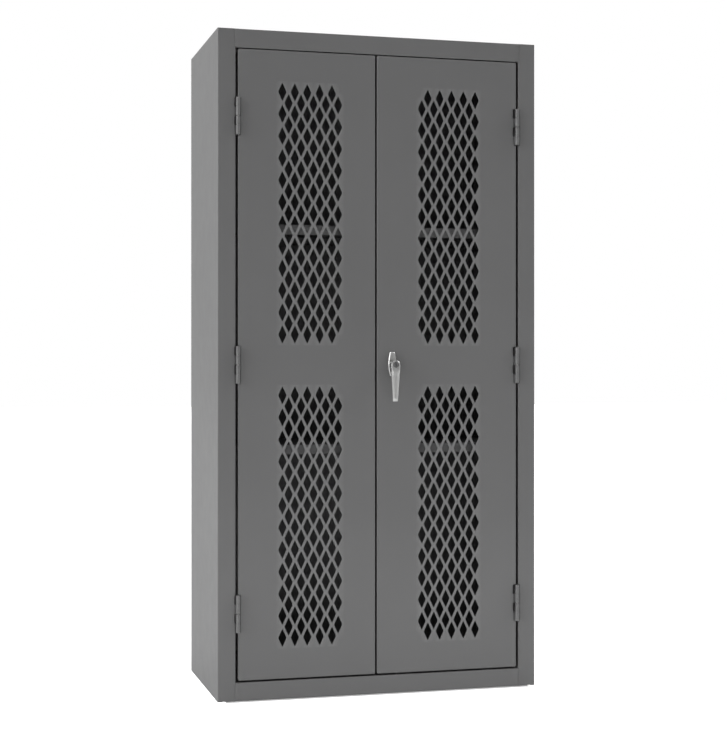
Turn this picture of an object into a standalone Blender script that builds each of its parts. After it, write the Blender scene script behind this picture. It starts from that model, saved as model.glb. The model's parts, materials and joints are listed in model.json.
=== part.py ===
"""Ventilated steel cabinet with two perforated doors, a turning handle and sliding bolt rods.

Lengths are metres. +Z is up and the front faces -Y. Sizes are worked out in the cabinet's own
coordinates: x is zero halfway between the sides, y is zero on the front face and grows towards
the back, and z is zero on the floor. One empty carries all of it, so that the finished part
stands with its origin under the middle of its outer box.
"""

import math

import bmesh
import bpy
from mathutils import Vector

# Body of the cabinet: folded and welded sheet.
WIDTH = 0.9144
HEIGHT = 1.8288
DEPTH = 0.4699
SHEET = 0.0019
BEND_RADIUS = 0.003
STILE_WIDTH = 0.0489
STILE_RETURN = 0.025
STILE_LIP = 0.012
REAR_FLANGE = 0.025
HEADER_HEIGHT = 0.051
STOP_LIP = 0.0118
SKIRT_HEIGHT = 0.0502
FOOT_FLANGE = 0.02
FOOT_NOTCH_WIDTH = 0.011
FOOT_NOTCH_HEIGHT = 0.0014
FOOT_NOTCH_INSET = 0.0122

# Gap left between pieces that touch, and the length by which a cut runs past what it cuts.
SEAT = 0.0003
OVERRUN = 0.001

# Doors: pans of the same sheet. The free edges meet a little to the left of the middle.
DOOR_DEPTH = 0.025
DOOR_LIP = 0.014
DOOR_TOP_GAP = 0.003
DOOR_BOTTOM_GAP = 0.005
DOOR_CORNER_RADIUS = 0.004
DOOR_STOP_GAP = 0.0005
LEFT_FREE_EDGE = -0.0147
CENTRE_GAP = 0.0052

# Grille: staggered diamond holes in an upper and a lower field on each door.
COLUMN_PITCH = 0.03496
ROW_PITCH = 0.0302
HOLE_HALF_WIDTH = 0.012
HOLE_HALF_HEIGHT = 0.0253
FIELD_END_MARGIN = 0.1665
FIELD_SPACING = 0.1659
FIELD_INNER_X = 0.1209
FIELD_HINGE_MARGIN = 0.1229

# Hinges: two leaves with rolled knuckles on one pin, standing proud of the face.
HINGE_LENGTH = 0.1016
HINGE_KNUCKLES = 4
HINGE_END_MARGIN = 0.2379
KNUCKLE_RADIUS = 0.0057
LEAF_THICKNESS = 0.0023
LEAF_END_GAP = 0.0011
KNUCKLE_STANDOFF = 0.0016
PIN_CLEARANCE = 0.0004
ROLL_GAP = 0.0005
NOTCH_CLEARANCE = 0.0012
DOOR_NOTCH_WIDTH = 0.007
STILE_NOTCH_WIDTH = 0.002
STILE_NOTCH_DEPTH = 0.003

# Door stiffeners: hat sections between the free edge and the grille.
STIFFENER_CLEARANCE = 0.002
STIFFENER_WIDTH = 0.036
STIFFENER_FOOT = 0.008
STIFFENER_DEPTH = 0.018
STIFFENER_SHEET = 0.0015
STIFFENER_END_GAP = 0.02

# Shelves, the slotted standards that carry them and their clips.
SHELF_HEIGHT = 0.027
SHELF_LIP = 0.015
SHELF_CORNER_RADIUS = 0.003
SHELF_FRONT = 0.045
SHELF_BACK_GAP = 0.012
SHELF_SIDE_GAP = 0.001
STANDARD_WIDTH = 0.026
STANDARD_DEPTH = 0.0117
STANDARD_TOP_GAP = 0.06
STANDARD_FOOT_GAP = 0.02
STANDARD_INSET = 0.062
SLOT_PITCH = 0.1524
FIRST_SLOT_Z = 0.209
TOP_SLOT_MARGIN = 0.17
SLOT_CLEARANCE = 0.0006
CLIP_WIDTH = 0.016
CLIP_THICKNESS = 0.0025
CLIP_TAB = 0.009
CLIP_TONGUE = 0.018

# Handle on the right door, hanging down from its spindle.
HANDLE_X = 0.034
HANDLE_RISE = 0.0006
HANDLE_REACH = 0.04
PLATE_HEIGHT = 0.0675
PLATE_WIDTH = 0.024
PLATE_END_WIDTH = 0.013
PLATE_THICKNESS = 0.006
PLATE_BEVEL = 0.002
PLATE_RISE = 0.002
HUB_RADIUS = 0.0105
HEAD_RADIUS = 0.0125
HEAD_THICKNESS = 0.0135
HEAD_CHAMFER = 0.0012
ARM_LENGTH = 0.1015
ARM_HEAD_WIDTH = 0.0235
ARM_TIP_WIDTH = 0.0145
ARM_HEAD_THICKNESS = 0.0115
ARM_TIP_THICKNESS = 0.009
ARM_RECESS = 0.0005
ARM_TIP_FACET = 0.0065
PLUG_RADIUS = 0.0078
PLUG_DEPTH = 0.014
KEYWAY_WIDTH = 0.0018
KEYWAY_HEIGHT = 0.0085
KEYWAY_DEPTH = 0.006
SPINDLE_SIZE = 0.008
SPINDLE_SOCKET = 0.012

# Bolt work behind the right door: a cam with two pins slides the two rods.
CAM_GAP = 0.0021
CAM_THICKNESS = 0.003
CAM_END_RADIUS = 0.007
CRANK_RADIUS = 0.018
CRANK_PIN_RADIUS = 0.003
CRANK_PIN_LENGTH = 0.0072
CAM_SCREW_RADIUS = 0.0052
CAM_SCREW_HEAD = 0.0025
ROD_RADIUS = 0.004
ROD_CAM_GAP = 0.0006
ROD_TIP_CHAMFER = 0.0015
ROD_STRIKE_GAP = 0.002
ROD_HOLE_CLEARANCE = 0.0007
STRIKE_HOLE_RADIUS = 0.006
YOKE_THICKNESS = 0.003
YOKE_RIM = 0.003
YOKE_CLEARANCE = 0.0007
YOKE_OVERLAP = 0.002
GUIDE_HEIGHT = 0.016
GUIDE_FOOT = 0.006
GUIDE_SHEET = 0.0016
GUIDE_CLEARANCE = 0.0006
GUIDE_LOCK_DISTANCE = 0.09
GUIDE_TIP_DISTANCE = 0.075

# Shares of the lever's own length, width and thickness, from its head to its tip.
ARM_STATION_SHARES = (0.0, 0.3, 0.7, 1.0)
ARM_TAPER_SHARES = (0.0, 0.42, 0.8, 1.0)
ARM_BACK_SHARE = 0.42
ARM_FLAT_SHARE = 0.24
ARM_SHOULDER_SHARE = 0.55

# Shares of the row of slots at which the shelves are hung.
LOWER_SHELF_SHARE = 0.33
UPPER_SHELF_SHARE = 0.78

# Counts of straight pieces in the curves.
BEND_STEPS = 2
HIDDEN_BEND_STEPS = 1
CORNER_STEPS = 2
HIDDEN_CORNER_STEPS = 1
KNUCKLE_STEPS = 6
ROUND_STEPS = 16
PIN_STEPS = 8
HOLE_STEPS = 8
PLATE_STEPS = 5

# Angles of the crank pins about the spindle, seen from the front, with the lever hanging down.
UPPER_PIN_ANGLE = math.radians(135)
LOWER_PIN_ANGLE = math.radians(-45)

# Places that follow from the sizes above.
FRONT_Y = -(DEPTH - HANDLE_REACH) / 2
BEND_INNER = BEND_RADIUS - SHEET
SIDE_INNER_X = WIDTH / 2 - SHEET
STILE_INNER_X = WIDTH / 2 - STILE_WIDTH
HEADER_UNDERSIDE = HEIGHT - HEADER_HEIGHT
BACK_FACE = DEPTH - SHEET - SEAT
PANEL_BACK = BACK_FACE - SHEET - SEAT
HINGE_X = STILE_INNER_X - SEAT - KNUCKLE_RADIUS
HINGE_Y = -KNUCKLE_STANDOFF - KNUCKLE_RADIUS
LEAF_REACH = DOOR_DEPTH - SHEET - LEAF_END_GAP - HINGE_Y
DOOR_HINGE_EDGE = HINGE_X - KNUCKLE_RADIUS + LEAF_THICKNESS + SEAT + SHEET
DOOR_TOP = HEADER_UNDERSIDE - DOOR_TOP_GAP
DOOR_BOTTOM = SKIRT_HEIGHT + DOOR_BOTTOM_GAP
RIGHT_FREE_EDGE = LEFT_FREE_EDGE + CENTRE_GAP
STANDARD_FACE_X = SIDE_INNER_X - SEAT - STANDARD_DEPTH
HANDLE_Z = HEIGHT / 2 + HANDLE_RISE
CAM_Y = SHEET + CAM_GAP
ROD_Y = CAM_Y + CAM_THICKNESS + ROD_CAM_GAP + ROD_RADIUS
PIN_SWING_X = (CRANK_RADIUS + CRANK_RADIUS * math.cos(LOWER_PIN_ANGLE)) / 2
GUIDE_HALF_WIDTH = ROD_RADIUS + GUIDE_CLEARANCE + GUIDE_FOOT
LOCK_REACH = max(CRANK_RADIUS + CAM_END_RADIUS, PIN_SWING_X + GUIDE_HALF_WIDTH)
STIFFENER_INNER_X = HANDLE_X + LOCK_REACH + STIFFENER_CLEARANCE

# Finishes: linear colour, roughness and metallic value.
PAINT = ((0.155, 0.155, 0.158), 0.42, 0.0)
PLATED = ((0.62, 0.62, 0.6), 0.35, 1.0)
CAST = ((0.5, 0.5, 0.5), 0.3, 1.0)
DARK = ((0.03, 0.03, 0.032), 0.45, 0.6)


def clear_scene():
    """Remove whatever objects the open file holds."""
    for item in list(bpy.data.objects):
        bpy.data.objects.remove(item, do_unlink=True)


def add_pivot(name, place, parent=None):
    """Add an empty at a place in cabinet coordinates, to carry pieces that move together."""
    pivot = bpy.data.objects.new(name, None)
    pivot["place"] = place
    bpy.context.scene.collection.objects.link(pivot)
    if parent is None:
        pivot.location = Vector(place) + Vector((0, FRONT_Y, 0))
    else:
        pivot.parent = parent
        pivot.location = Vector(place) - Vector(parent["place"])
    return pivot


def paint(item, finish):
    """Give an object a material of its own."""
    colour, roughness, metallic = finish
    material = bpy.data.materials.new(item.name + "_finish")
    material.use_nodes = True
    shader = material.node_tree.nodes["Principled BSDF"]
    shader.inputs["Base Color"].default_value = (*colour, 1)
    shader.inputs["Roughness"].default_value = roughness
    shader.inputs["Metallic"].default_value = metallic
    item.data.materials.append(material)


def loft(shape, rings):
    """Add one closed body to a bmesh: quads between like rings and a cap on each end ring."""
    loops = [[shape.verts.new(point) for point in ring] for ring in rings]
    faces = [shape.faces.new(loops[0]), shape.faces.new(loops[-1])]
    for lower, upper in zip(loops, loops[1:]):
        for index in range(len(lower)):
            following = (index + 1) % len(lower)
            quad = (lower[index], lower[following], upper[following], upper[index])
            faces.append(shape.faces.new(quad))
    bmesh.ops.recalc_face_normals(shape, faces=faces)


def make_mesh(name, bodies):
    """Build a mesh from a list of bodies, each of them a list of rings."""
    shape = bmesh.new()
    for rings in bodies:
        loft(shape, rings)
    mesh = bpy.data.meshes.new(name)
    shape.to_mesh(mesh)
    shape.free()
    return mesh


def add_piece(name, bodies, parent, finish, place=None):
    """Add a named piece built about a place, by default the place of what carries it."""
    item = bpy.data.objects.new(name, make_mesh(name, bodies))
    bpy.context.scene.collection.objects.link(item)
    item.parent = parent
    carrier = Vector(parent["place"])
    item.location = (Vector(place) if place is not None else carrier) - carrier
    paint(item, finish)
    return item


def add_tool(item, name, bodies, operation):
    """Cut bodies from an object, or join them to it, with a Boolean in the object's own space."""
    tool = bpy.data.objects.new(name, make_mesh(name, bodies))
    bpy.context.scene.collection.objects.link(tool)
    tool.parent = item.parent
    tool.location = item.location
    tool.rotation_euler = item.rotation_euler
    tool.hide_render = True
    tool.display_type = "WIRE"
    modifier = item.modifiers.new(name, "BOOLEAN")
    modifier.operation = operation
    modifier.solver = "EXACT"
    modifier.object = tool


def cut(item, name, bodies):
    add_tool(item, name, bodies, "DIFFERENCE")


def join(item, name, bodies):
    add_tool(item, name, bodies, "UNION")


def smooth(item, angle=math.radians(40)):
    """Shade round faces smooth and keep the real edges sharp."""
    item.data.shade_smooth()
    item.data.set_sharp_from_angle(angle=angle)


def along_x(outline, start, end):
    """Rings of an outline of (y, z) points, carried from one x to another."""
    return [[(x, y, z) for y, z in outline] for x in (start, end)]


def along_y(outline, start, end):
    """Rings of an outline of (x, z) points, carried from one y to another."""
    return [[(x, y, z) for x, z in outline] for y in (start, end)]


def along_z(outline, start, end):
    """Rings of an outline of (x, y) points, carried from one z to another."""
    return [[(x, y, z) for x, y in outline] for z in (start, end)]


def box(x_range, y_range, z_range):
    """Rings of a plain block."""
    x0, x1 = x_range
    y0, y1 = y_range
    return along_z([(x0, y0), (x1, y0), (x1, y1), (x0, y1)], *z_range)


def circle(radius, steps=ROUND_STEPS, centre=(0, 0)):
    """Points of a circle, with a flat on each side of the axes."""
    angles = [2 * math.pi * (index + 1 / 2) / steps for index in range(steps)]
    return [(centre[0] + radius * math.cos(a), centre[1] + radius * math.sin(a)) for a in angles]


def turned_along_y(profile, steps=ROUND_STEPS):
    """Rings of a turned piece on the y axis, from (radius, y) points."""
    return [[(x, y, z) for x, z in circle(radius, steps)] for radius, y in profile]


def turned_along_z(profile, steps=ROUND_STEPS):
    """Rings of a turned piece on the z axis, from (radius, z) points."""
    return [[(x, y, z) for x, y in circle(radius, steps)] for radius, z in profile]


def folded_sheet(path, thickness, radius, side=1, steps=BEND_STEPS):
    """Outline of a sheet folded along a path, with round bends.

    The path is one face of the sheet. The material lies to its left, or to its right where side
    is -1. The radius is that of the outer face of each bend.
    """
    points = [Vector(point) for point in path]
    runs = [(after - before).normalized() for before, after in zip(points, points[1:])]
    normals = [Vector((-run.y, run.x)) * side for run in runs]
    near = [points[0]]
    far = [points[0] + normals[0] * thickness]
    for corner, before, after in zip(points[1:-1], normals, normals[1:]):
        turn = before.cross(after) * side
        inner = radius - thickness
        reach = radius if turn > 0 else inner
        bearing = 1 if turn > 0 else -1
        centre = corner + (before + after) * bearing * reach / (1 + before.dot(after))
        for step in range(steps + 1):
            facing = before.slerp(after, step / steps)
            near.append(centre - facing * bearing * reach)
            far.append(centre - facing * bearing * (reach - bearing * thickness))
    near.append(points[-1])
    far.append(points[-1] + normals[-1] * thickness)
    return [tuple(point) for point in near + far[::-1]]


def rounded_rectangle(x_range, y_range, radius, inset, steps):
    """Points of a rectangle drawn in by an inset, with its corners rounded."""
    x0, x1 = x_range[0] + inset, x_range[1] - inset
    y0, y1 = y_range[0] + inset, y_range[1] - inset
    bend = max(radius - inset, SEAT)
    right, left = x1 - bend, x0 + bend
    back, front = y1 - bend, y0 + bend
    centres = ((right, back), (left, back), (left, front), (right, front))
    points = []
    for quarter, (x, y) in enumerate(centres):
        for step in range(steps + 1):
            angle = math.pi / 2 * (quarter + step / steps)
            points.append((x + bend * math.cos(angle), y + bend * math.sin(angle)))
    return points


def pan_stations(depth, lip):
    """Inset and depth of each ring of a pan: over the face, down the flange and back inside."""
    stations = []
    for step in range(BEND_STEPS + 1):
        angle = math.pi / 2 * step / BEND_STEPS
        stations.append((BEND_RADIUS * (1 - math.sin(angle)), BEND_RADIUS * (1 - math.cos(angle))))
    stations += [(0.0, depth), (lip, depth), (lip, depth - SHEET), (SHEET, depth - SHEET), (SHEET, SHEET)]
    return stations


def cabinet_root():
    return add_pivot("cabinet_frame", (0, 0, 0))


def side_panel(root, name, side):
    """One sheet: rear flange, side, front stile, its return and a lip."""
    outer = side * WIDTH / 2
    inner = side * STILE_INNER_X
    path = [
        (outer - side * REAR_FLANGE, DEPTH),
        (outer, DEPTH),
        (outer, 0),
        (inner, 0),
        (inner, STILE_RETURN),
        (inner + side * STILE_LIP, STILE_RETURN),
    ]
    outline = folded_sheet(path, SHEET, BEND_RADIUS, -side)
    panel = add_piece(name, [along_z(outline, 0, HEIGHT)], root, PAINT)
    notch_x = sorted((inner - side * OVERRUN, inner + side * STILE_NOTCH_WIDTH))
    notches = [box(notch_x, (-OVERRUN, STILE_NOTCH_DEPTH), hinge_notch(z)) for z in hinge_heights()]
    lip_x = sorted((inner - side * OVERRUN, inner + side * (STILE_LIP + OVERRUN)))
    under_top = (HEIGHT - SHEET - SEAT, HEIGHT + OVERRUN)
    notches.append(box(lip_x, (SHEET + SEAT, STILE_RETURN + OVERRUN), under_top))
    drain_x = sorted(outer - side * (FOOT_NOTCH_INSET + width) for width in (0, FOOT_NOTCH_WIDTH))
    notches.append(box(drain_x, (-OVERRUN, SHEET + OVERRUN), (-OVERRUN, FOOT_NOTCH_HEIGHT)))
    cut(panel, name + "_cuts", notches)


def back_panel(root):
    """A flat sheet under the top, behind which the flanges of the sides are folded."""
    half = SIDE_INNER_X - SEAT - BEND_INNER
    high = HEIGHT - SHEET - SEAT
    add_piece("back_panel", [box((-half, half), (PANEL_BACK + SEAT, BACK_FACE), (0, high))], root, PAINT)


def top_panel(root):
    """One sheet: door stop, header return, header, and top as far as the back panel's face."""
    stop_y = DOOR_DEPTH + DOOR_STOP_GAP
    path = [
        (stop_y, HEADER_UNDERSIDE - STOP_LIP),
        (stop_y, HEADER_UNDERSIDE),
        (0, HEADER_UNDERSIDE),
        (0, HEIGHT),
        (BACK_FACE, HEIGHT),
    ]
    half = SIDE_INNER_X - SEAT
    outline = folded_sheet(path, SHEET, BEND_RADIUS, -1)
    panel = add_piece("top_panel", [along_x(outline, -half, half)], root, PAINT)
    behind_stop = stop_y + SHEET + OVERRUN
    below_stop = HEADER_UNDERSIDE - STOP_LIP - OVERRUN
    corner = [
        (-OVERRUN, below_stop),
        (behind_stop, below_stop),
        (behind_stop, HEIGHT - SHEET - SEAT / 2),
        (BEND_RADIUS + SEAT, HEIGHT - SHEET - SEAT / 2),
        (BEND_RADIUS + SEAT, HEIGHT + OVERRUN),
        (-OVERRUN, HEIGHT + OVERRUN),
    ]
    corners = [
        along_x(corner, side * (STILE_INNER_X - SEAT), side * (half + OVERRUN)) for side in (-1, 1)
    ]
    hole = circle(STRIKE_HOLE_RADIUS, HOLE_STEPS, (rod_x("upper"), ROD_Y))
    strike = along_z(hole, HEADER_UNDERSIDE - OVERRUN, HEADER_UNDERSIDE + SHEET + OVERRUN)
    cut(panel, "top_panel_cuts", corners + [strike])


def bottom_panel(root):
    """One sheet: front skirt with its foot flange, cabinet floor and rear skirt."""
    path = [
        (PANEL_BACK - FOOT_FLANGE, 0),
        (PANEL_BACK, 0),
        (PANEL_BACK, SKIRT_HEIGHT),
        (0, SKIRT_HEIGHT),
        (0, 0),
        (FOOT_FLANGE, 0),
    ]
    half = SIDE_INNER_X - SEAT
    outline = folded_sheet(path, SHEET, BEND_RADIUS)
    panel = add_piece("bottom_panel", [along_x(outline, -half, half)], root, PAINT)
    corners = []
    for side in (-1, 1):
        x_range = sorted((side * (STILE_INNER_X - SEAT), side * (half + OVERRUN)))
        y_range = (-OVERRUN, STILE_RETURN + SEAT)
        corners.append(box(x_range, y_range, (-OVERRUN, SKIRT_HEIGHT + OVERRUN)))
    hole = circle(STRIKE_HOLE_RADIUS, HOLE_STEPS, (rod_x("lower"), ROD_Y))
    strike = along_z(hole, SKIRT_HEIGHT - SHEET - OVERRUN, SKIRT_HEIGHT + OVERRUN)
    cut(panel, "bottom_panel_cuts", corners + [strike])


def slot_heights():
    """Height of the top of the clip that each slot of a standard would take."""
    count = int((HEIGHT - TOP_SLOT_MARGIN - FIRST_SLOT_Z) / SLOT_PITCH) + 1
    return [FIRST_SLOT_Z + index * SLOT_PITCH for index in range(count)]


def shelf_height(share):
    """Height of the clips in the slot nearest to a share of the row of slots."""
    heights = slot_heights()
    return heights[round(share * (len(heights) - 1))]


def standard_places():
    """Name, side and middle y of each standard."""
    rear = PANEL_BACK - STANDARD_INSET
    front = SHELF_FRONT + STANDARD_INSET / 2
    for label, y in (("front", front), ("rear", rear)):
        for name, side in (("left", -1), ("right", 1)):
            yield label + "_" + name, side, y


def shelf_standard(root, name, side, y):
    """A channel on the side panel, with a slot for a clip at every pitch."""
    low, high = SKIRT_HEIGHT + STANDARD_FOOT_GAP, HEIGHT - STANDARD_TOP_GAP
    half = STANDARD_WIDTH / 2
    path = [(-STANDARD_DEPTH, -half), (0, -half), (0, half), (-STANDARD_DEPTH, half)]
    outline = folded_sheet(path, SHEET, BEND_RADIUS, steps=HIDDEN_BEND_STEPS)
    place = (side * STANDARD_FACE_X, y, 0)
    standard = add_piece(name + "_standard", [along_z(outline, low, high)], root, PAINT, place)
    slot_half = CLIP_WIDTH / 2 + SLOT_CLEARANCE
    slots = []
    for z in slot_heights():
        z_range = (z - CLIP_THICKNESS - SLOT_CLEARANCE, z + SLOT_CLEARANCE)
        slots.append(box((-SHEET - OVERRUN, OVERRUN), (-slot_half, slot_half), z_range))
    standard.rotation_euler.z = math.pi if side > 0 else 0
    cut(standard, name + "_slots", slots)


def shelf_clip(root, name, side, y, z):
    """A tab behind the standard's face and a tongue through the slot, under the shelf."""
    hook = -SHEET - SEAT - CLIP_THICKNESS
    outline = [
        (CLIP_TONGUE, -CLIP_THICKNESS),
        (CLIP_TONGUE, 0),
        (hook + CLIP_THICKNESS, 0),
        (hook + CLIP_THICKNESS, CLIP_TAB),
        (hook, CLIP_TAB),
        (hook, -CLIP_THICKNESS),
    ]
    half = CLIP_WIDTH / 2
    place = (side * STANDARD_FACE_X, y, z)
    clip = add_piece(name + "_clip", [along_y(outline, -half, half)], root, PLATED, place)
    clip.rotation_euler.z = math.pi if side > 0 else 0


def shelf(root, name, share):
    """A pan turned upside down, resting on four clips."""
    half = STANDARD_FACE_X - SHELF_SIDE_GAP
    x_range = (-half, half)
    y_range = (SHELF_FRONT, PANEL_BACK - SHELF_BACK_GAP)
    base = shelf_height(share)
    rings = []
    for inset, drop in pan_stations(SHELF_HEIGHT, SHELF_LIP):
        outline = rounded_rectangle(x_range, y_range, SHELF_CORNER_RADIUS, inset, HIDDEN_CORNER_STEPS)
        rings.append([(x, y, SHELF_HEIGHT - drop) for x, y in outline])
    add_piece(name + "_shelf", [rings], root, PAINT, (0, 0, base + SEAT))
    for label, side, y in standard_places():
        shelf_clip(root, name + "_" + label, side, y, base)


def hinge_heights():
    """Heights of the middles of the hinges, from the lowest up."""
    return [HINGE_END_MARGIN, HEIGHT / 2, HEIGHT - HINGE_END_MARGIN]


def hinge_notch(z):
    """Height range of the notch round a hinge."""
    reach = HINGE_LENGTH / 2 + NOTCH_CLEARANCE
    return (z - reach, z + reach)


def leaf_outline():
    """Section of a leaf that runs back from the pin and is rolled round it.

    The pin is at zero and the leaf lies on the -x side. The roll leaves the leaf at the side of
    the barrel and goes round the front of the pin.
    """
    inner_radius = KNUCKLE_RADIUS - LEAF_THICKNESS
    roll = math.pi + math.acos((ROLL_GAP - inner_radius) / KNUCKLE_RADIUS)
    outer = [(-KNUCKLE_RADIUS, LEAF_REACH)]
    inner = [(-inner_radius, LEAF_REACH)]
    for step in range(KNUCKLE_STEPS + 1):
        angle = math.pi + roll * step / KNUCKLE_STEPS
        outer.append((KNUCKLE_RADIUS * math.cos(angle), KNUCKLE_RADIUS * math.sin(angle)))
        inner.append((inner_radius * math.cos(angle), inner_radius * math.sin(angle)))
    return outer + inner[::-1]


def hinge_leaf(name, parent, place, mirrored):
    """A leaf with knuckles 2 and 4 from the top, or 1 and 3 once it is turned over."""
    half = HINGE_LENGTH / 2
    leaf = add_piece(name, [along_z(leaf_outline(), -half, half)], parent, PAINT, place)
    pitch = HINGE_LENGTH / HINGE_KNUCKLES
    reach = KNUCKLE_RADIUS + OVERRUN
    gaps = []
    for index in range(1, HINGE_KNUCKLES, 2):
        low = -half + index * pitch
        high = low + pitch + (SEAT / 2 if index < HINGE_KNUCKLES - 1 else OVERRUN)
        gaps.append(box((-reach, reach), (-reach, reach), (low - SEAT / 2, high)))
    leaf.rotation_euler.y = math.pi if mirrored else 0
    cut(leaf, name + "_gaps", gaps)
    smooth(leaf)


def hinge_pin(name, parent, place):
    half = HINGE_LENGTH / 2
    radius = KNUCKLE_RADIUS - LEAF_THICKNESS - PIN_CLEARANCE
    profile = [(radius, -half), (radius, half)]
    smooth(add_piece(name, [turned_along_z(profile, PIN_STEPS)], parent, PLATED, place))


def hinges(root, door, name, side):
    """Three hinges: the same two leaves serve both sides of the cabinet."""
    for level, z in zip(("lower", "middle", "upper"), hinge_heights()):
        place = (side * HINGE_X, HINGE_Y, z)
        label = name + "_" + level
        hinge_leaf(label + "_frame_leaf", root, place, side > 0)
        hinge_leaf(label + "_door_leaf", door, place, side < 0)
        hinge_pin(label + "_hinge_pin", root, place)


def field_centres(side):
    """Places of the diamond holes of one door: two fields of staggered rows."""
    outer = DOOR_HINGE_EDGE - FIELD_HINGE_MARGIN
    columns = round((outer - FIELD_INNER_X) / COLUMN_PITCH - 1 / 2) + 1
    span = (HEIGHT - 2 * FIELD_END_MARGIN - FIELD_SPACING) / 2
    rows = round(span / ROW_PITCH) + 1
    middle_x = (outer + FIELD_INNER_X) / 2
    centres = []
    for field in (-1, 1):
        middle_z = HEIGHT / 2 + field * (FIELD_SPACING + span) / 2
        for row in range(rows):
            z = middle_z + (row - (rows - 1) / 2) * ROW_PITCH
            stagger = COLUMN_PITCH / 4 * (1 if row % 2 == 0 else -1)
            for column in range(columns):
                x = middle_x + stagger + (column - (columns - 1) / 2) * COLUMN_PITCH
                centres.append((side * x, z))
    return centres


def door_panel(door, name, side, free_edge):
    """A pan with its flanges turned to the back, its diamond holes and its hinge notches."""
    hinge_edge = side * DOOR_HINGE_EDGE
    x_range = sorted((free_edge, hinge_edge))
    z_range = (DOOR_BOTTOM, DOOR_TOP)
    rings = []
    for inset, depth in pan_stations(DOOR_DEPTH, DOOR_LIP):
        outline = rounded_rectangle(x_range, z_range, DOOR_CORNER_RADIUS, inset, CORNER_STEPS)
        rings.append([(x, depth, z) for x, z in outline])
    panel = add_piece(name + "_door_panel", [rings], door, PAINT, (0, 0, 0))
    holes = []
    for x, z in field_centres(side):
        diamond = [
            (x - HOLE_HALF_WIDTH, z),
            (x, z - HOLE_HALF_HEIGHT),
            (x + HOLE_HALF_WIDTH, z),
            (x, z + HOLE_HALF_HEIGHT),
        ]
        holes.append(along_y(diamond, -OVERRUN, SHEET + OVERRUN))
    cut(panel, name + "_door_holes", holes)
    notch_x = sorted((hinge_edge + side * OVERRUN, hinge_edge - side * DOOR_NOTCH_WIDTH))
    notches = [box(notch_x, (-OVERRUN, BEND_RADIUS + SEAT), hinge_notch(z)) for z in hinge_heights()]
    cut(panel, name + "_door_notches", notches)
    return panel


def lock_holes(panel):
    """Holes in the right door for the spindle and for the two rods."""
    spindle = circle(spindle_hole_radius(), HOLE_STEPS, (HANDLE_X, HANDLE_Z))
    holes = [along_y(spindle, -OVERRUN, SHEET + OVERRUN)]
    for rod, z in (("upper", DOOR_TOP), ("lower", DOOR_BOTTOM)):
        hole = circle(rod_hole_radius(), HOLE_STEPS, (rod_x(rod), ROD_Y))
        holes.append(along_z(hole, z - SHEET - OVERRUN, z + SHEET + OVERRUN))
    cut(panel, "right_door_lock_holes", holes)


def stiffener(door, name, side):
    """A hat section welded to the inside of the door."""
    base = SHEET + SEAT
    start = STIFFENER_INNER_X
    end = start + STIFFENER_WIDTH
    crown = base + STIFFENER_DEPTH
    path = [
        (start, base),
        (start + STIFFENER_FOOT, base),
        (start + STIFFENER_FOOT, crown),
        (end - STIFFENER_FOOT, crown),
        (end - STIFFENER_FOOT, base),
        (end, base),
    ]
    outline = folded_sheet(path, STIFFENER_SHEET, BEND_RADIUS, steps=HIDDEN_BEND_STEPS)
    outline = [(side * x, y) for x, y in outline]
    low, high = DOOR_BOTTOM + STIFFENER_END_GAP, DOOR_TOP - STIFFENER_END_GAP
    add_piece(name + "_door_stiffener", [along_z(outline, low, high)], door, PAINT, (0, 0, 0))


def flat_to_corner(radius, steps):
    """Radius to the corners of a many-sided hole whose flats lie at a radius."""
    return radius / math.cos(math.pi / steps)


def spindle_hole_radius():
    """Corner radius of the hole in which the square spindle can turn."""
    return flat_to_corner(SPINDLE_SIZE / math.sqrt(2) + SEAT, HOLE_STEPS)


def rod_hole_radius():
    """Corner radius of the hole in the door's flange through which a rod slides."""
    return flat_to_corner(ROD_RADIUS + ROD_HOLE_CLEARANCE, HOLE_STEPS)


def square(size):
    half = size / 2
    return [(-half, -half), (half, -half), (half, half), (-half, half)]


def plate_outline(inset=0.0):
    """Tall outline with flat ends and bowed sides, drawn in by an inset."""
    half_height = PLATE_HEIGHT / 2 - inset
    bow = (PLATE_WIDTH - PLATE_END_WIDTH) / 2
    radius = (half_height ** 2 + bow ** 2) / (2 * bow)
    sweep = math.asin(half_height / radius)
    side_points = []
    for step in range(PLATE_STEPS + 1):
        angle = sweep * (2 * step / PLATE_STEPS - 1)
        x = PLATE_WIDTH / 2 - inset - radius * (1 - math.cos(angle))
        side_points.append((x, radius * math.sin(angle)))
    return side_points + [(-x, -z) for x, z in side_points]


def handle_plate(door):
    """The cast plate between the lever and the door."""
    stations = ((0.0, -SEAT), (0.0, PLATE_BEVEL - PLATE_THICKNESS), (PLATE_BEVEL, -PLATE_THICKNESS))
    rings = [[(x, y, z + PLATE_RISE) for x, z in plate_outline(inset)] for inset, y in stations]
    plate = add_piece("handle_plate", [rings], door, CAST, (HANDLE_X, 0, HANDLE_Z))
    hole = along_y(circle(spindle_hole_radius(), HOLE_STEPS), -PLATE_THICKNESS - OVERRUN, OVERRUN)
    cut(plate, "handle_plate_hole", [hole])


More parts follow.
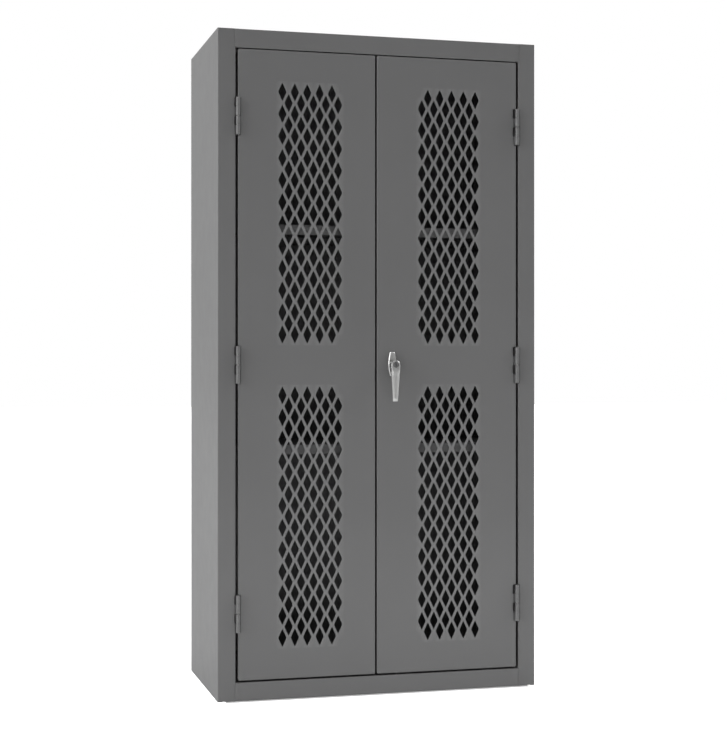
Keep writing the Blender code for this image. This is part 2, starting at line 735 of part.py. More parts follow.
def arm_rings():
    """Sections of the lever's arm: a flat front between two sloping sides, thinner at the tip."""
    rings = []
    back = -HANDLE_REACH + HEAD_THICKNESS
    for station, taper in zip(ARM_STATION_SHARES, ARM_TAPER_SHARES):
        width = ARM_HEAD_WIDTH + (ARM_TIP_WIDTH - ARM_HEAD_WIDTH) * taper
        thickness = ARM_HEAD_THICKNESS + (ARM_TIP_THICKNESS - ARM_HEAD_THICKNESS) * taper
        front = -HANDLE_REACH + ARM_RECESS + (HEAD_THICKNESS - ARM_RECESS - thickness) / 2 * taper
        rear = min(front + thickness, back - ARM_RECESS)
        shoulder = front + (rear - front) * ARM_SHOULDER_SHARE
        z = -ARM_LENGTH * station
        section = [
            (-width * ARM_BACK_SHARE, rear),
            (width * ARM_BACK_SHARE, rear),
            (width / 2, shoulder),
            (width * ARM_FLAT_SHARE, front),
            (-width * ARM_FLAT_SHARE, front),
            (-width / 2, shoulder),
        ]
        rings.append([(x, y, z) for x, y in section])
    return rings


def lever(handle):
    """Hub, round head and arm, bored for the lock plug and the spindle."""
    back = -HANDLE_REACH + HEAD_THICKNESS
    hub = [
        (HUB_RADIUS, -PLATE_THICKNESS - SEAT),
        (HUB_RADIUS, back),
        (HEAD_RADIUS, back - HEAD_CHAMFER),
        (HEAD_RADIUS, -HANDLE_REACH + HEAD_CHAMFER),
        (HEAD_RADIUS - HEAD_CHAMFER, -HANDLE_REACH),
    ]
    piece = add_piece("lever", [turned_along_y(hub)], handle, CAST)
    join(piece, "lever_arm", [arm_rings()])
    front = -HANDLE_REACH - OVERRUN
    below = -ARM_LENGTH - OVERRUN
    tip = [(front, ARM_TIP_FACET - ARM_LENGTH), (front, below), (back - ARM_TIP_THICKNESS / 2, below)]
    facet = along_x(tip, -ARM_HEAD_WIDTH, ARM_HEAD_WIDTH)
    plug_bore = along_y(circle(PLUG_RADIUS + SEAT), front, -HANDLE_REACH + PLUG_DEPTH + SEAT)
    socket_end = -PLATE_THICKNESS - SEAT - SPINDLE_SOCKET
    socket = along_y(square(SPINDLE_SIZE + 2 * SEAT), socket_end, -PLATE_THICKNESS + OVERRUN)
    cut(piece, "lever_bores", [facet, plug_bore, socket])
    smooth(piece)


def lock_plug(lock):
    """The key barrel in the head of the lever, with its keyway."""
    profile = [(PLUG_RADIUS, -HANDLE_REACH + PLUG_DEPTH), (PLUG_RADIUS, -HANDLE_REACH)]
    plug = add_piece("lock_plug", [turned_along_y(profile)], lock, DARK)
    slot_x = (-KEYWAY_WIDTH / 2, KEYWAY_WIDTH / 2)
    slot_y = (-HANDLE_REACH - OVERRUN, -HANDLE_REACH + KEYWAY_DEPTH)
    slot_z = (-KEYWAY_HEIGHT / 2, KEYWAY_HEIGHT / 2)
    cut(plug, "keyway", [box(slot_x, slot_y, slot_z)])
    smooth(plug)


def spindle(handle):
    """The square bar that turns the cam with the lever."""
    front = -PLATE_THICKNESS - SPINDLE_SOCKET
    add_piece("spindle", [along_y(square(SPINDLE_SIZE), front, CAM_Y + CAM_THICKNESS)], handle, PLATED)


def pin_place(angle):
    return (CRANK_RADIUS * math.cos(angle), CRANK_RADIUS * math.sin(angle))


def cam_outline():
    """A bar with round ends about the two crank pins."""
    points = []
    for angle in (UPPER_PIN_ANGLE, LOWER_PIN_ANGLE):
        x, z = pin_place(angle)
        for step in range(ROUND_STEPS // 2 + 1):
            turn = angle - math.pi / 2 + math.pi * step / (ROUND_STEPS // 2)
            points.append((x + CAM_END_RADIUS * math.cos(turn), z + CAM_END_RADIUS * math.sin(turn)))
    return points


def cam(handle):
    """The cam on the spindle, one piece with its two crank pins."""
    back = CAM_Y + CAM_THICKNESS
    plate = add_piece("cam_plate", [along_y(cam_outline(), CAM_Y, back)], handle, PLATED)
    pins = []
    for angle in (UPPER_PIN_ANGLE, LOWER_PIN_ANGLE):
        outline = circle(CRANK_PIN_RADIUS, PIN_STEPS, pin_place(angle))
        pins.append(along_y(outline, back - CAM_THICKNESS / 2, back + CRANK_PIN_LENGTH))
    join(plate, "crank_pins", pins)
    cut(plate, "cam_square", [along_y(square(SPINDLE_SIZE + 2 * SEAT), CAM_Y - OVERRUN, back + OVERRUN)])
    smooth(plate)
    low, high = back + SEAT, back + SEAT + CAM_SCREW_HEAD
    head = [(CAM_SCREW_RADIUS, low), (CAM_SCREW_RADIUS, high)]
    add_piece("cam_screw", [turned_along_y(head, PIN_STEPS)], handle, PLATED)


def rod_x(rod):
    """The rods run in line with the middle of their crank pin's swing."""
    return HANDLE_X + (-PIN_SWING_X if rod == "upper" else PIN_SWING_X)


def bolt_rod(slide, name, direction, tip_z):
    """A round rod with a yoke plate whose level slot takes the crank pin."""
    pin_z = CRANK_RADIUS * math.sin(UPPER_PIN_ANGLE)
    length = direction * (tip_z - HANDLE_Z) - pin_z
    slot_reach = (CRANK_RADIUS - CRANK_RADIUS * math.cos(LOWER_PIN_ANGLE)) / 2
    slot_half_x = slot_reach + CRANK_PIN_RADIUS + YOKE_CLEARANCE
    slot_half_z = CRANK_PIN_RADIUS + YOKE_CLEARANCE
    plate_x = slot_half_x + YOKE_RIM
    plate_z = slot_half_z + YOKE_RIM
    foot = plate_z - YOKE_OVERLAP
    shoulder = length - ROD_TIP_CHAMFER
    upright = [(ROD_RADIUS, foot), (ROD_RADIUS, shoulder), (ROD_RADIUS - ROD_TIP_CHAMFER, length)]
    profile = [(radius, direction * z) for radius, z in upright]
    place = (rod_x(name), ROD_Y, HANDLE_Z + direction * pin_z)
    rod = add_piece(name + "_bolt_rod", [turned_along_z(profile, PIN_STEPS)], slide, PLATED, place)
    half = YOKE_THICKNESS / 2
    join(rod, name + "_yoke", [box((-plate_x, plate_x), (-half, half), (-plate_z, plate_z))])
    slot = box((-slot_half_x, slot_half_x), (-half - OVERRUN, half + OVERRUN), (-slot_half_z, slot_half_z))
    cut(rod, name + "_yoke_slot", [slot])
    smooth(rod)


def rod_guide(door, name, x, z):
    """A strap on the inside of the door, round a rod."""
    inner = ROD_RADIUS + GUIDE_CLEARANCE
    base = SHEET + SEAT
    crown = ROD_Y + inner
    path = [
        (-GUIDE_HALF_WIDTH, base),
        (-inner, base),
        (-inner, crown),
        (inner, crown),
        (inner, base),
        (GUIDE_HALF_WIDTH, base),
    ]
    outline = folded_sheet(path, GUIDE_SHEET, BEND_RADIUS, steps=HIDDEN_BEND_STEPS)
    half = GUIDE_HEIGHT / 2
    add_piece(name + "_rod_guide", [along_z(outline, -half, half)], door, PLATED, (x, 0, z))


def bolt_work(door):
    """The two rods and the guides that hold them to the door."""
    tips = (
        ("upper", 1, HEADER_UNDERSIDE - ROD_STRIKE_GAP, DOOR_TOP),
        ("lower", -1, SKIRT_HEIGHT + ROD_STRIKE_GAP, DOOR_BOTTOM),
    )
    for name, direction, tip_z, door_end in tips:
        slide = add_pivot(name + "_rod_slide", (rod_x(name), ROD_Y, HANDLE_Z), door)
        bolt_rod(slide, name, direction, tip_z)
        rod_guide(door, name + "_lock", rod_x(name), HANDLE_Z + direction * GUIDE_LOCK_DISTANCE)
        rod_guide(door, name + "_tip", rod_x(name), door_end - direction * GUIDE_TIP_DISTANCE)


def body(root):
    side_panel(root, "left_side_panel", -1)
    side_panel(root, "right_side_panel", 1)
    back_panel(root)
    top_panel(root)
    bottom_panel(root)
    for name, side, y in standard_places():
        shelf_standard(root, name, side, y)
    shelf(root, "lower", LOWER_SHELF_SHARE)
    shelf(root, "upper", UPPER_SHELF_SHARE)


def left_door(root):
    door = add_pivot("left_door_pivot", (-HINGE_X, HINGE_Y, 0), root)
    door_panel(door, "left", -1, LEFT_FREE_EDGE)
    stiffener(door, "left", -1)
    hinges(root, door, "left", -1)


def right_door(root):
    door = add_pivot("right_door_pivot", (HINGE_X, HINGE_Y, 0), root)
    lock_holes(door_panel(door, "right", 1, RIGHT_FREE_EDGE))
    stiffener(door, "right", 1)
    hinges(root, door, "right", 1)
    handle_plate(door)
    bolt_work(door)
    handle = add_pivot("handle_pivot", (HANDLE_X, 0, HANDLE_Z), door)
    lever(handle)
    spindle(handle)
    cam(handle)
    lock_plug(add_pivot("lock_pivot", (HANDLE_X, 0, HANDLE_Z), handle))


def main():
    clear_scene()
    root = cabinet_root()
    body(root)
    left_door(root)
    right_door(root)


main()
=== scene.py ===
"""Looks of a ventilated steel cabinet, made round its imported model.

Every operator makes one piece, or one group of like pieces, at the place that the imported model
gives it. Lengths are metres, +Z is up and the doors face -Y. A sheet piece is the outline of a
folded sheet carried along a line, a door or a shelf is a pan round a grid, and a grille is a
lattice of rhombic cells, each with one rounded diamond hole.
"""

import json
import math

import bmesh
import bpy
import numpy as np
from bpy.props import FloatProperty, FloatVectorProperty, IntProperty, PointerProperty
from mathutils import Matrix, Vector

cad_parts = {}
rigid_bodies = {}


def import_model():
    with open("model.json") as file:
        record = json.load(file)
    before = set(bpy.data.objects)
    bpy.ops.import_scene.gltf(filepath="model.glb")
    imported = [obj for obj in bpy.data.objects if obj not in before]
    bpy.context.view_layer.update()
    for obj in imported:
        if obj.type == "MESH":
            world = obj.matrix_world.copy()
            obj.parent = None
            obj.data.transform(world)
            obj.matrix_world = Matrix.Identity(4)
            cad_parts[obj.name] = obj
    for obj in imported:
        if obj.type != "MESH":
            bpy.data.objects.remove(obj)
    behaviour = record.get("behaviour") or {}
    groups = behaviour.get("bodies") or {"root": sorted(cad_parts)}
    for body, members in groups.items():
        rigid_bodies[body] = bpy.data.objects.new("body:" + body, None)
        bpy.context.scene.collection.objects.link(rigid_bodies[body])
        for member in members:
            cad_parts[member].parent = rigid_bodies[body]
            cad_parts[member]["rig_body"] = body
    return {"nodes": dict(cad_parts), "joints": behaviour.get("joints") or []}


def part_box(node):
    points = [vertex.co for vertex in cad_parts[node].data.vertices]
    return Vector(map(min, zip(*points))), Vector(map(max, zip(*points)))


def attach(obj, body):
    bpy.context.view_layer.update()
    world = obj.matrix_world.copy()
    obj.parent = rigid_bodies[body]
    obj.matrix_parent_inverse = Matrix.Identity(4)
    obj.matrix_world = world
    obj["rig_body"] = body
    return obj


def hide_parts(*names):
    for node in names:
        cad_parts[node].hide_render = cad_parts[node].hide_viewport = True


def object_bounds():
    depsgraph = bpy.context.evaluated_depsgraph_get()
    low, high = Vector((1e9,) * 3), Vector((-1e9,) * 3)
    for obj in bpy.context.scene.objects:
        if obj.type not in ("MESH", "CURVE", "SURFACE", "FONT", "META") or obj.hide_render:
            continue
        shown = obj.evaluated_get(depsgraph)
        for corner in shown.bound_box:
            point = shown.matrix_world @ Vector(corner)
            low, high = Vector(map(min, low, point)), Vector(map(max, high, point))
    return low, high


bl_info = {
    "name": "Ventilated Cabinet",
    "version": (1, 0, 0),
    "blender": (4, 5, 0),
    "location": "3D View > Sidebar > Cabinet",
    "description": "Builds the fine surfaces and the finishes of a ventilated steel cabinet",
    "category": "Add Mesh",
}

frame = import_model()
CAD_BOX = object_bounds()

LEFT, RIGHT = -1, 1
SIDES = (("left", LEFT), ("right", RIGHT))
LEVELS = ("lower", "middle", "upper")
OVERRUN = 0.001
WELD_DISTANCE = 0.00001
BEND_STEPS = 8
CORNER_STEPS = 6
BARREL_STEPS = 30
TURNED_STEPS = 48

# Small lengths that no size in the sidebar covers
DOOR_STOP_GAP = 0.0005
CLIP_THICKNESS = 0.0025
TOP_SLOT_MARGIN = 0.11
ROLL_START = 0.0012
PIN_DOME = 0.0012
PLATE_STEP = 0.0003
PLUG_CHAMFER, PLUG_GROOVE = 0.0005, 0.0003
NUB_RISE, NUB_BASE, NUB_ROOT = 0.0007, 0.0011, 0.004
SCREW_SLOT = 0.0012
GUIDE_BEND = 0.003
CAM_TURN = math.radians(135)

# How far the lever has tapered at equal steps from the spindle to its tip
TAPER = (0, 0.07, 0.27, 0.53, 0.78, 1)

# Rounding of the edges of castings, of the bolt work and of small fittings
CAST_EDGE, WORK_EDGE, FITTING_EDGE = 0.00025, 0.0003, 0.0004

# Shading: the attribute that carries a painted highlight at the punched rims, how far from a hole
# it ends and over what share of the hole it fades, kinds of sockets, how far roughness swings, and
# the stretch of drawn grain
PAINTED_HIGHLIGHT_ATTRIBUTE = "rim"
PAINTED_HIGHLIGHT_REACH, PAINTED_HIGHLIGHT_FADE = 1.6, 0.3
VECTOR = ("Vector", None)
GREY = ("Color", (0.5, 0.5, 0.5, 1))
SHEEN_SPREAD = 0.05
WHITE = (1, 1, 1, 1)
DRAWN_ALONG = (1, 1, 0.15)

# Studio: name, apparent width in degrees and way of each wide light, the place, size and tilt of
# the low one, where the surround dims, and how far inside its footprint the floor turns pale
SUNS = (
    ("overhead", 40, (0.1, 0.05, -1)),
    ("flank", 60, (1, 0.06, -0.12)),
    ("rim", 24, (-0.82, 0.16, -0.53)),
    ("key", 40, (-0.7, 1, -0.75)),
)
SUN_DISTANCE = 3
LOW_PLACE, LOW_SIZE, LOW_TILT = (0.1, -1.25, 0.12), (2.4, 0.2), math.radians(105)
MIRRORED_WAY = (0.28, -0.96, 0.0)
DIMMING = (0.5, 0.85)
FOOTPRINT_INSET = 0.02


def length(name, default, description):
    """A length in metres that the sidebar shows."""
    return FloatProperty(
        name=name,
        description=description,
        default=default,
        min=0.0,
        precision=5,
        subtype="DISTANCE",
        unit="LENGTH",
    )


def factor(name, default, description, highest=1.0):
    """A plain number that the sidebar shows."""
    return FloatProperty(name=name, description=description, default=default, min=0.0, max=highest)


def colour(name, default, description):
    """A linear colour that the sidebar shows."""
    return FloatVectorProperty(
        name=name,
        description=description,
        default=default,
        min=0.0,
        max=1.0,
        size=3,
        subtype="COLOR",
    )


class CabinetSheetSizes(bpy.types.PropertyGroup):
    """Folded sheet of the body and of the doors."""

    thickness: length("Sheet", 0.0019, "Thickness of the sheet")
    bend_radius: length("Bend radius", 0.0023, "Outer radius of each bend")
    bend_lead: length("Bend lead", 0.0008, "Flat strip beside each bend that parts its shading")
    seat: length("Seat", 0.0003, "Gap between pieces that touch")
    edge_round: length("Edge round", 0.0003, "Rounding of the cut edges of the sheet")
    stile_return: length("Stile return", 0.025, "Depth of the stile's return into the cabinet")
    stile_lip: length("Stile lip", 0.012, "Width of the lip behind the stile")
    rear_flange: length("Rear flange", 0.025, "Width of the flange at the back of each side")
    foot_flange: length("Foot flange", 0.02, "Depth of the flanges under the skirts")
    stop_lip: length("Stop lip", 0.0118, "Height of the lip that stops the doors at the top")
    door_lip: length("Door lip", 0.014, "Width of the lip inside the door's flange")
    door_corner: length("Door corner", 0.004, "Radius of the corners of the doors")
    door_border: length("Door border", 0.0085, "Plain border between the door's edge and its grid")
    strike_radius: length("Strike hole", 0.006, "Radius of the holes that the bolt rods enter")
    drain_width: length("Foot notch width", 0.011, "Width of the notch under each stile")
    drain_height: length("Foot notch height", 0.0014, "Height of the notch under each stile")
    drain_inset: length("Foot notch inset", 0.0122, "Distance of the notch from the side")
    seam_corner: length("Seam corner", 0.0075, "Radius at which the seam leaves the stile's edge")
    seam_width: length("Seam width", 0.0015, "Width of the slope of the dressed weld")
    seam_height: length("Seam height", 0.0015, "Height of the dressed weld over the face")
    seam_fade: length("Seam fade", 0.02, "Width over which the weld fades into the rail")


class CabinetGrilleSizes(bpy.types.PropertyGroup):
    """Diamond holes of the doors."""

    column_pitch: length("Column pitch", 0.03496, "Distance between the holes of one row")
    row_pitch: length("Row pitch", 0.0302, "Distance between rows")
    half_width: length("Half width", 0.012, "Half a hole's width, to where its straight edges meet")
    half_height: length("Half height", 0.0253, "Half its height, to where its straight edges meet")
    side_radius: length("Side radius", 0.0085, "Radius of the blunt corners at the sides of a hole")
    tip_radius: length("Tip radius", 0.0011, "Radius of the sharp corners at its top and bottom")
    end_margin: length("End margin", 0.1665, "From the cabinet's ends to the outer rows")
    spacing: length("Field spacing", 0.1659, "Between the upper and the lower field")
    inner_x: length("Inner column", 0.1209, "From the cabinet's middle to the first column")
    hinge_margin: length("Hinge margin", 0.1229, "From the door's hinge edge to the last column")
    edge_roll: length("Edge roll", 0.0005, "Rounding that the punch leaves at the edge of a hole")


class CabinetHingeSizes(bpy.types.PropertyGroup):
    """Rolled hinges."""

    barrel_radius: length("Barrel radius", 0.0057, "Outer radius of the knuckles")
    leaf_thickness: length("Leaf", 0.0023, "Thickness of the leaves")
    roll_gap: length("Roll gap", 0.0005, "Gap left where a leaf is rolled back to itself")
    pin_clearance: length("Pin clearance", 0.0014, "Clearance round the pin")
    knuckle_gap: length("Knuckle gap", 0.0007, "Gap between knuckles")
    middle_gap: length("Middle gap", 0.0018, "Gap between the two middle knuckles")
    knuckle_round: length("Knuckle round", 0.0004, "Rounding of the ends of the knuckles")
    notch_clearance: length("Notch clearance", 0.0012, "Room over and under a hinge")
    door_notch: length("Door notch", 0.007, "Width of the notch in the door")
    stile_notch: length("Stile notch", 0.0012, "Width of the notch in the left stile")
    right_stile_notch: length("Right stile notch", 0.0038, "Width of the notch in the right stile")
    pocket_width: length("Pocket width", 0.003, "How far a pocket goes past the notch or the edge")
    pocket_depth: length("Pocket depth", 0.016, "Depth of the pockets beside every other knuckle")
    leaf_cutback: length("Leaf cutback", 0.008, "How far a leaf is cut back behind the barrel")
    knuckles: IntProperty(
        name="Knuckles", description="Knuckles of one hinge", default=4, min=2, max=9
    )


class CabinetInnerSizes(bpy.types.PropertyGroup):
    """Shelves, standards, stiffeners and bolt work."""

    shelf_lip: length("Shelf lip", 0.015, "Width of the lip under the shelf's edge")
    shelf_corner: length("Shelf corner", 0.003, "Radius of the shelf's corners")
    slot_pitch: length("Slot pitch", 0.1524, "Distance between the slots of a standard")
    slot_clearance: length("Slot clearance", 0.0006, "Clearance of a clip in its slot")
    stiffener_foot: length("Stiffener foot", 0.008, "Width of each foot of the door's hat section")
    stiffener_sheet: length("Stiffener sheet", 0.0015, "Thickness of the hat section")
    guide_foot: length("Guide foot", 0.006, "Width of each foot of a rod guide")
    guide_sheet: length("Guide sheet", 0.0016, "Thickness of a rod guide")
    rod_radius: length("Rod radius", 0.004, "Radius of the bolt rods")
    rod_chamfer: length("Rod chamfer", 0.0015, "Chamfer at the end of a bolt rod")
    crank_radius: length("Crank radius", 0.018, "From the spindle to each crank pin")
    crank_pin: length("Crank pin", 0.003, "Radius of the crank pins")
    cam_end: length("Cam end", 0.007, "Radius of the ends of the cam")
    cam_thickness: length("Cam thickness", 0.003, "Thickness of the cam and of the rods' yokes")
    yoke_rim: length("Yoke rim", 0.003, "Metal round the slot of a yoke")
    yoke_clearance: length("Yoke clearance", 0.0007, "Clearance of the crank pin in its slot")
    rod_hole_clearance: length("Rod hole clearance", 0.0007, "Clearance of the rods in the door")


class CabinetHandleSizes(bpy.types.PropertyGroup):
    """Cast lever, its plate and its lock."""

    head_radius: length("Head radius", 0.0125, "Radius of the head round the lock")
    head_thickness: length("Head thickness", 0.0135, "Thickness of the head")
    head_chamfer: length("Head chamfer", 0.0026, "Width of the chamfer round the head's face")
    head_bevel: length("Head bevel", 0.0014, "Depth of that chamfer")
    hub_radius: length("Hub radius", 0.0108, "Radius of the hub behind the head")
    arm_length: length("Arm length", 0.1015, "From the spindle to the tip")
    arm_head_width: length("Arm width at head", 0.0248, "Width of the arm at the spindle")
    arm_tip_width: length("Arm width at tip", 0.0145, "Width of the arm at its tip")
    arm_head_thickness: length("Arm thickness at head", 0.0115, "Arm's thickness at the spindle")
    arm_tip_thickness: length("Arm thickness at tip", 0.009, "Thickness of the arm at its tip")
    arm_recess: length("Arm recess", 0.0025, "How far the arm's tip lies behind the head's face")
    arm_flat: factor("Arm flat", 0.3, "Share of the arm's width that its middle facet takes")
    arm_back: factor("Arm back", 0.62, "Share of the arm's width that its back takes")
    arm_shoulder: factor("Arm shoulder", 0.3, "Share of the arm's thickness that its slopes take")
    tip_facet: length("Tip facet", 0.0065, "Height of the sloping facet at the tip")
    tip_slope: length("Tip slope", 0.0028, "How far the tip's facet falls back")
    corner_round: length("Corner round", 0.0006, "Rounding between the facets of the casting")
    nub_drop: length("Nub drop", 0.0195, "From the spindle down to the small nub on the arm")
    nub_radius: length("Nub radius", 0.0019, "Radius of the nub")
    plate_end_width: length("Plate end width", 0.013, "Width of the plate's flat ends")
    plate_bevel: length("Plate bevel", 0.0021, "Bevel round the plate")
    plug_radius: length("Plug radius", 0.0078, "Radius of the lock plug")
    keyway_width: length("Keyway width", 0.0018, "Width of the keyway")
    keyway_height: length("Keyway height", 0.0085, "Height of the keyway")
    keyway_depth: length("Keyway depth", 0.006, "Depth of the keyway")
    spindle_size: length("Spindle", 0.008, "Side of the square spindle")


class CabinetFinishes(bpy.types.PropertyGroup):
    """Colours and surfaces."""

    paint: colour("Paint", (0.155, 0.155, 0.156), "Grey powder coat")
    paint_roughness: factor("Paint roughness", 0.42, "Roughness of the powder coat")
    paint_drift: factor("Paint drift", 0.035, "How far the grey wanders over a large face")
    peel_size: length("Peel size", 0.0017, "Width of one cell of the powder coat's orange peel")
    peel_depth: length("Peel depth", 0.00002, "Depth of the orange peel")
    # Painted highlight: a lighter coat beside the punched holes stands in for light on their edges
    rim_lift: factor("Rim lift", 0.19, "How much lighter the coat is beside the punched holes")
    cast: colour("Casting", (0.56, 0.56, 0.555), "Satin plated casting of the handle")
    cast_roughness: factor("Casting roughness", 0.3, "Roughness of the casting")
    plated: colour("Plating", (0.46, 0.46, 0.44), "Zinc plating of the inner fittings")
    plated_roughness: factor("Plating roughness", 0.36, "Roughness of the zinc plating")
    barrel: colour("Lock barrel", (0.2, 0.2, 0.202), "Face of the lock plug")
    barrel_roughness: factor("Lock barrel roughness", 0.38, "Roughness of the lock plug")


class CabinetStudio(bpy.types.PropertyGroup):
    """Camera, floor and lights."""

    eye: FloatVectorProperty(
        name="Eye",
        description="Place of the camera",
        default=(-1.1879, -4.47855, 0.9144),
        size=3,
        subtype="TRANSLATION",
        unit="LENGTH",
    )
    heading: FloatProperty(
        name="Heading",
        description="Turn of the camera from +Y towards +X",
        default=math.radians(14.962),
        subtype="ANGLE",
        unit="ROTATION",
    )
    lens: factor("Lens", 78.75, "Focal length in millimetres over a sensor 36 wide", 500.0)
    rise: FloatProperty(name="Rise", description="Vertical shift of the picture", default=0.00063)
    floor_size: length("Floor size", 60.0, "Side of the floor")
    floor_colour: colour("Floor", (0.9, 0.9, 0.9), "Colour of the floor")
    bounce: factor("Bounce", 0.76, "Share of light that the floor throws back up")
    surround: factor("Surround", 0.5, "Radiance of the even light from all sides", 10.0)
    shade: factor("Shade", 0.65, "How much dimmer the surround is where flat faces mirror it")
    overhead: factor("Overhead light", 0.8, "Strength of the light from above", 50.0)
    flank: factor("Flank light", 3.0, "Strength of the light from the left", 50.0)
    rim: factor("Rim light", 0.9, "Strength of the light that grazes the front", 50.0)
    low: factor("Low light", 2.1, "Power of the low light in front, in watts", 500.0)
    key: factor("Key light", 0.1, "Strength of the light from the right and above", 50.0)


GROUPS = (
    ("cabinet_sheet", CabinetSheetSizes, "Sheet"),
    ("cabinet_grille", CabinetGrilleSizes, "Grille"),
    ("cabinet_hinge", CabinetHingeSizes, "Hinges"),
    ("cabinet_inner", CabinetInnerSizes, "Shelves and bolt work"),
    ("cabinet_handle", CabinetHandleSizes, "Handle"),
    ("cabinet_finish", CabinetFinishes, "Finishes"),
    ("cabinet_studio", CabinetStudio, "Studio"),
)


# Surfaces


def shell(rings):
    """Points and faces of a closed body: quads between neighbouring rings and a cap at each end."""
    rings = np.asarray(rings, float)
    index = np.arange(rings.shape[0] * rings.shape[1]).reshape(rings.shape[:2])
    return rings.reshape(-1, 3), [bands(index, closed=True), index[[0, -1]]]


def bands(index, closed):
    """Quads between the rows of one index grid, or of many; the rows close on themselves or not."""
    near, far = index[..., :-1, :], index[..., 1:, :]
    if closed:
        near_next, far_next = np.roll(near, -1, axis=-1), np.roll(far, -1, axis=-1)
    else:
        near, near_next = near[..., :-1], near[..., 1:]
        far, far_next = far[..., :-1], far[..., 1:]
    return np.stack((near, near_next, far_next, far), axis=-1).reshape(-1, 4)


def placed(axis, along, across):
    """Points from their coordinates along one axis and, in order, along the other two."""
    points = np.empty((*np.broadcast_shapes(along.shape, across.shape[:-1]), 3))
    main = "xyz".index(axis)
    points[..., main] = along
    points[..., [other for other in range(3) if other != main]] = across
    return points


def carried(outline, axis, stations):
    """Rings of a flat outline, in the other two coordinates in order, carried along x, y or z."""
    return placed(axis, np.asarray(stations, float)[:, None], np.asarray(outline, float)[None])


def at(outline, axis, station):
    """One ring: a flat outline put at one place on an axis."""
    return carried(outline, axis, (station,))[0]


def prism(outline, axis, *ends):
    """A closed body with one flat outline all along an axis."""
    return shell(carried(outline, axis, ends))


def circle(radius, steps, centre=(0.0, 0.0)):
    """Points at equal angles round a centre."""
    angles = 2 * math.pi * (np.arange(steps) + 0.5) / steps
    return centre + radius * np.column_stack((np.cos(angles), np.sin(angles)))


def turned(profile, axis, centre, steps=TURNED_STEPS):
    """Rings of a turned body: each (radius, height) pair is a circle square to the axis."""
    profile = np.asarray(profile, float)
    across = profile[:, 0, None, None] * circle(1.0, steps)
    return placed(axis, profile[:, 1, None], across) + np.asarray(centre, float)


def drill(radius, centre, axis, *ends):
    """A round body between two places on an axis, to cut with or to join."""
    return prism(circle(radius, TURNED_STEPS, centre), axis, *ends)


def block(low, high):
    """Rings of a box between two corners, in any order."""
    (left, near, bottom), (right, far, top) = np.minimum(low, high), np.maximum(low, high)
    return carried([(left, near), (right, near), (right, far), (left, far)], "z", (bottom, top))


def brick(low, high):
    """A closed box between two corners, in any order."""
    return shell(block(low, high))


def hat(low, high, foot, thickness):
    """Path of a hat section between two corners in plan: foot, wall, crown, wall and foot."""
    crown = high[1] - thickness
    return [
        (low[0], low[1]), (low[0] + foot, low[1]), (low[0] + foot, crown),
        (high[0] - foot, crown), (high[0] - foot, low[1]), (high[0], low[1]),
    ]


def folded(path, thickness, radius, side=1, steps=BEND_STEPS, lead=0.0):
    """Outline of a sheet folded along a path of points.

    Each corner of the path becomes an arc about a centre on the inside of the bend. One face of
    the sheet follows the path and the other lies one thickness to its left, or to its right where
    side is -1. Two extra points beside each arc keep the flat faces flat in shading.
    """
    path = np.asarray(path, float)
    runs = np.diff(path, axis=0)
    runs /= np.linalg.norm(runs, axis=1)[:, None]
    normals = np.column_stack((-runs[:, 1], runs[:, 0])) * side
    share = np.linspace(0, 1, steps + 1)[:, None]
    near, far = [path[:1]], [path[:1] + normals[0] * thickness]
    for corner, before, after, run_in, run_out in zip(
        path[1:-1], normals, normals[1:], runs, runs[1:]
    ):
        bearing = 1 if (before[0] * after[1] - before[1] * after[0]) * side > 0 else -1
        reach = radius if bearing > 0 else radius - thickness
        cosine = before @ after
        turn = math.acos(cosine)
        centre = corner + (before + after) * bearing * reach / (1 + cosine)
        facing = np.sin((1 - share) * turn) * before + np.sin(share * turn) * after
        facing /= math.sin(turn)
        for face, distance in ((near, reach), (far, reach - bearing * thickness)):
            arc = centre - facing * bearing * distance
            if lead:
                arc = np.vstack((arc[0] - run_in * lead, arc, arc[-1] + run_out * lead))
            face.append(arc)
    near.append(path[-1:])
    far.append(path[-1:] + normals[-1] * thickness)
    return np.vstack((np.vstack(near), np.vstack(far)[::-1]))


def at_height(places, height):
    """Points on a level line: each place beside one height."""
    return np.column_stack((places, np.full(len(places), height)))


def rounded_frame(columns, rows, low, high, radius, inset):
    """Points round a rectangle drawn in by an inset, at each column and row and round its corners.

    The centre of a corner's arc stays put while its radius shrinks with the inset, down to a point.
    """
    bend = max(radius, inset)
    left, right, bottom, top = low[0] + bend, high[0] - bend, low[1] + bend, high[1] - bend
    columns, rows = columns[1:-1], rows[1:-1]
    lines = (
        at_height(columns, low[1] + inset),
        at_height(rows, high[0] - inset)[:, ::-1],
        at_height(columns, high[1] - inset)[::-1],
        at_height(rows, low[0] + inset)[::-1, ::-1],
    )
    sides = []
    for turn, centre in enumerate(((right, bottom), (right, top), (left, top), (left, bottom))):
        angles = np.linspace(turn - 1, turn, CORNER_STEPS + 1) * math.pi / 2
        arc = np.column_stack((np.cos(angles), np.sin(angles)))
        sides += [lines[turn], centre + (bend - inset) * arc]
    return np.vstack(sides)


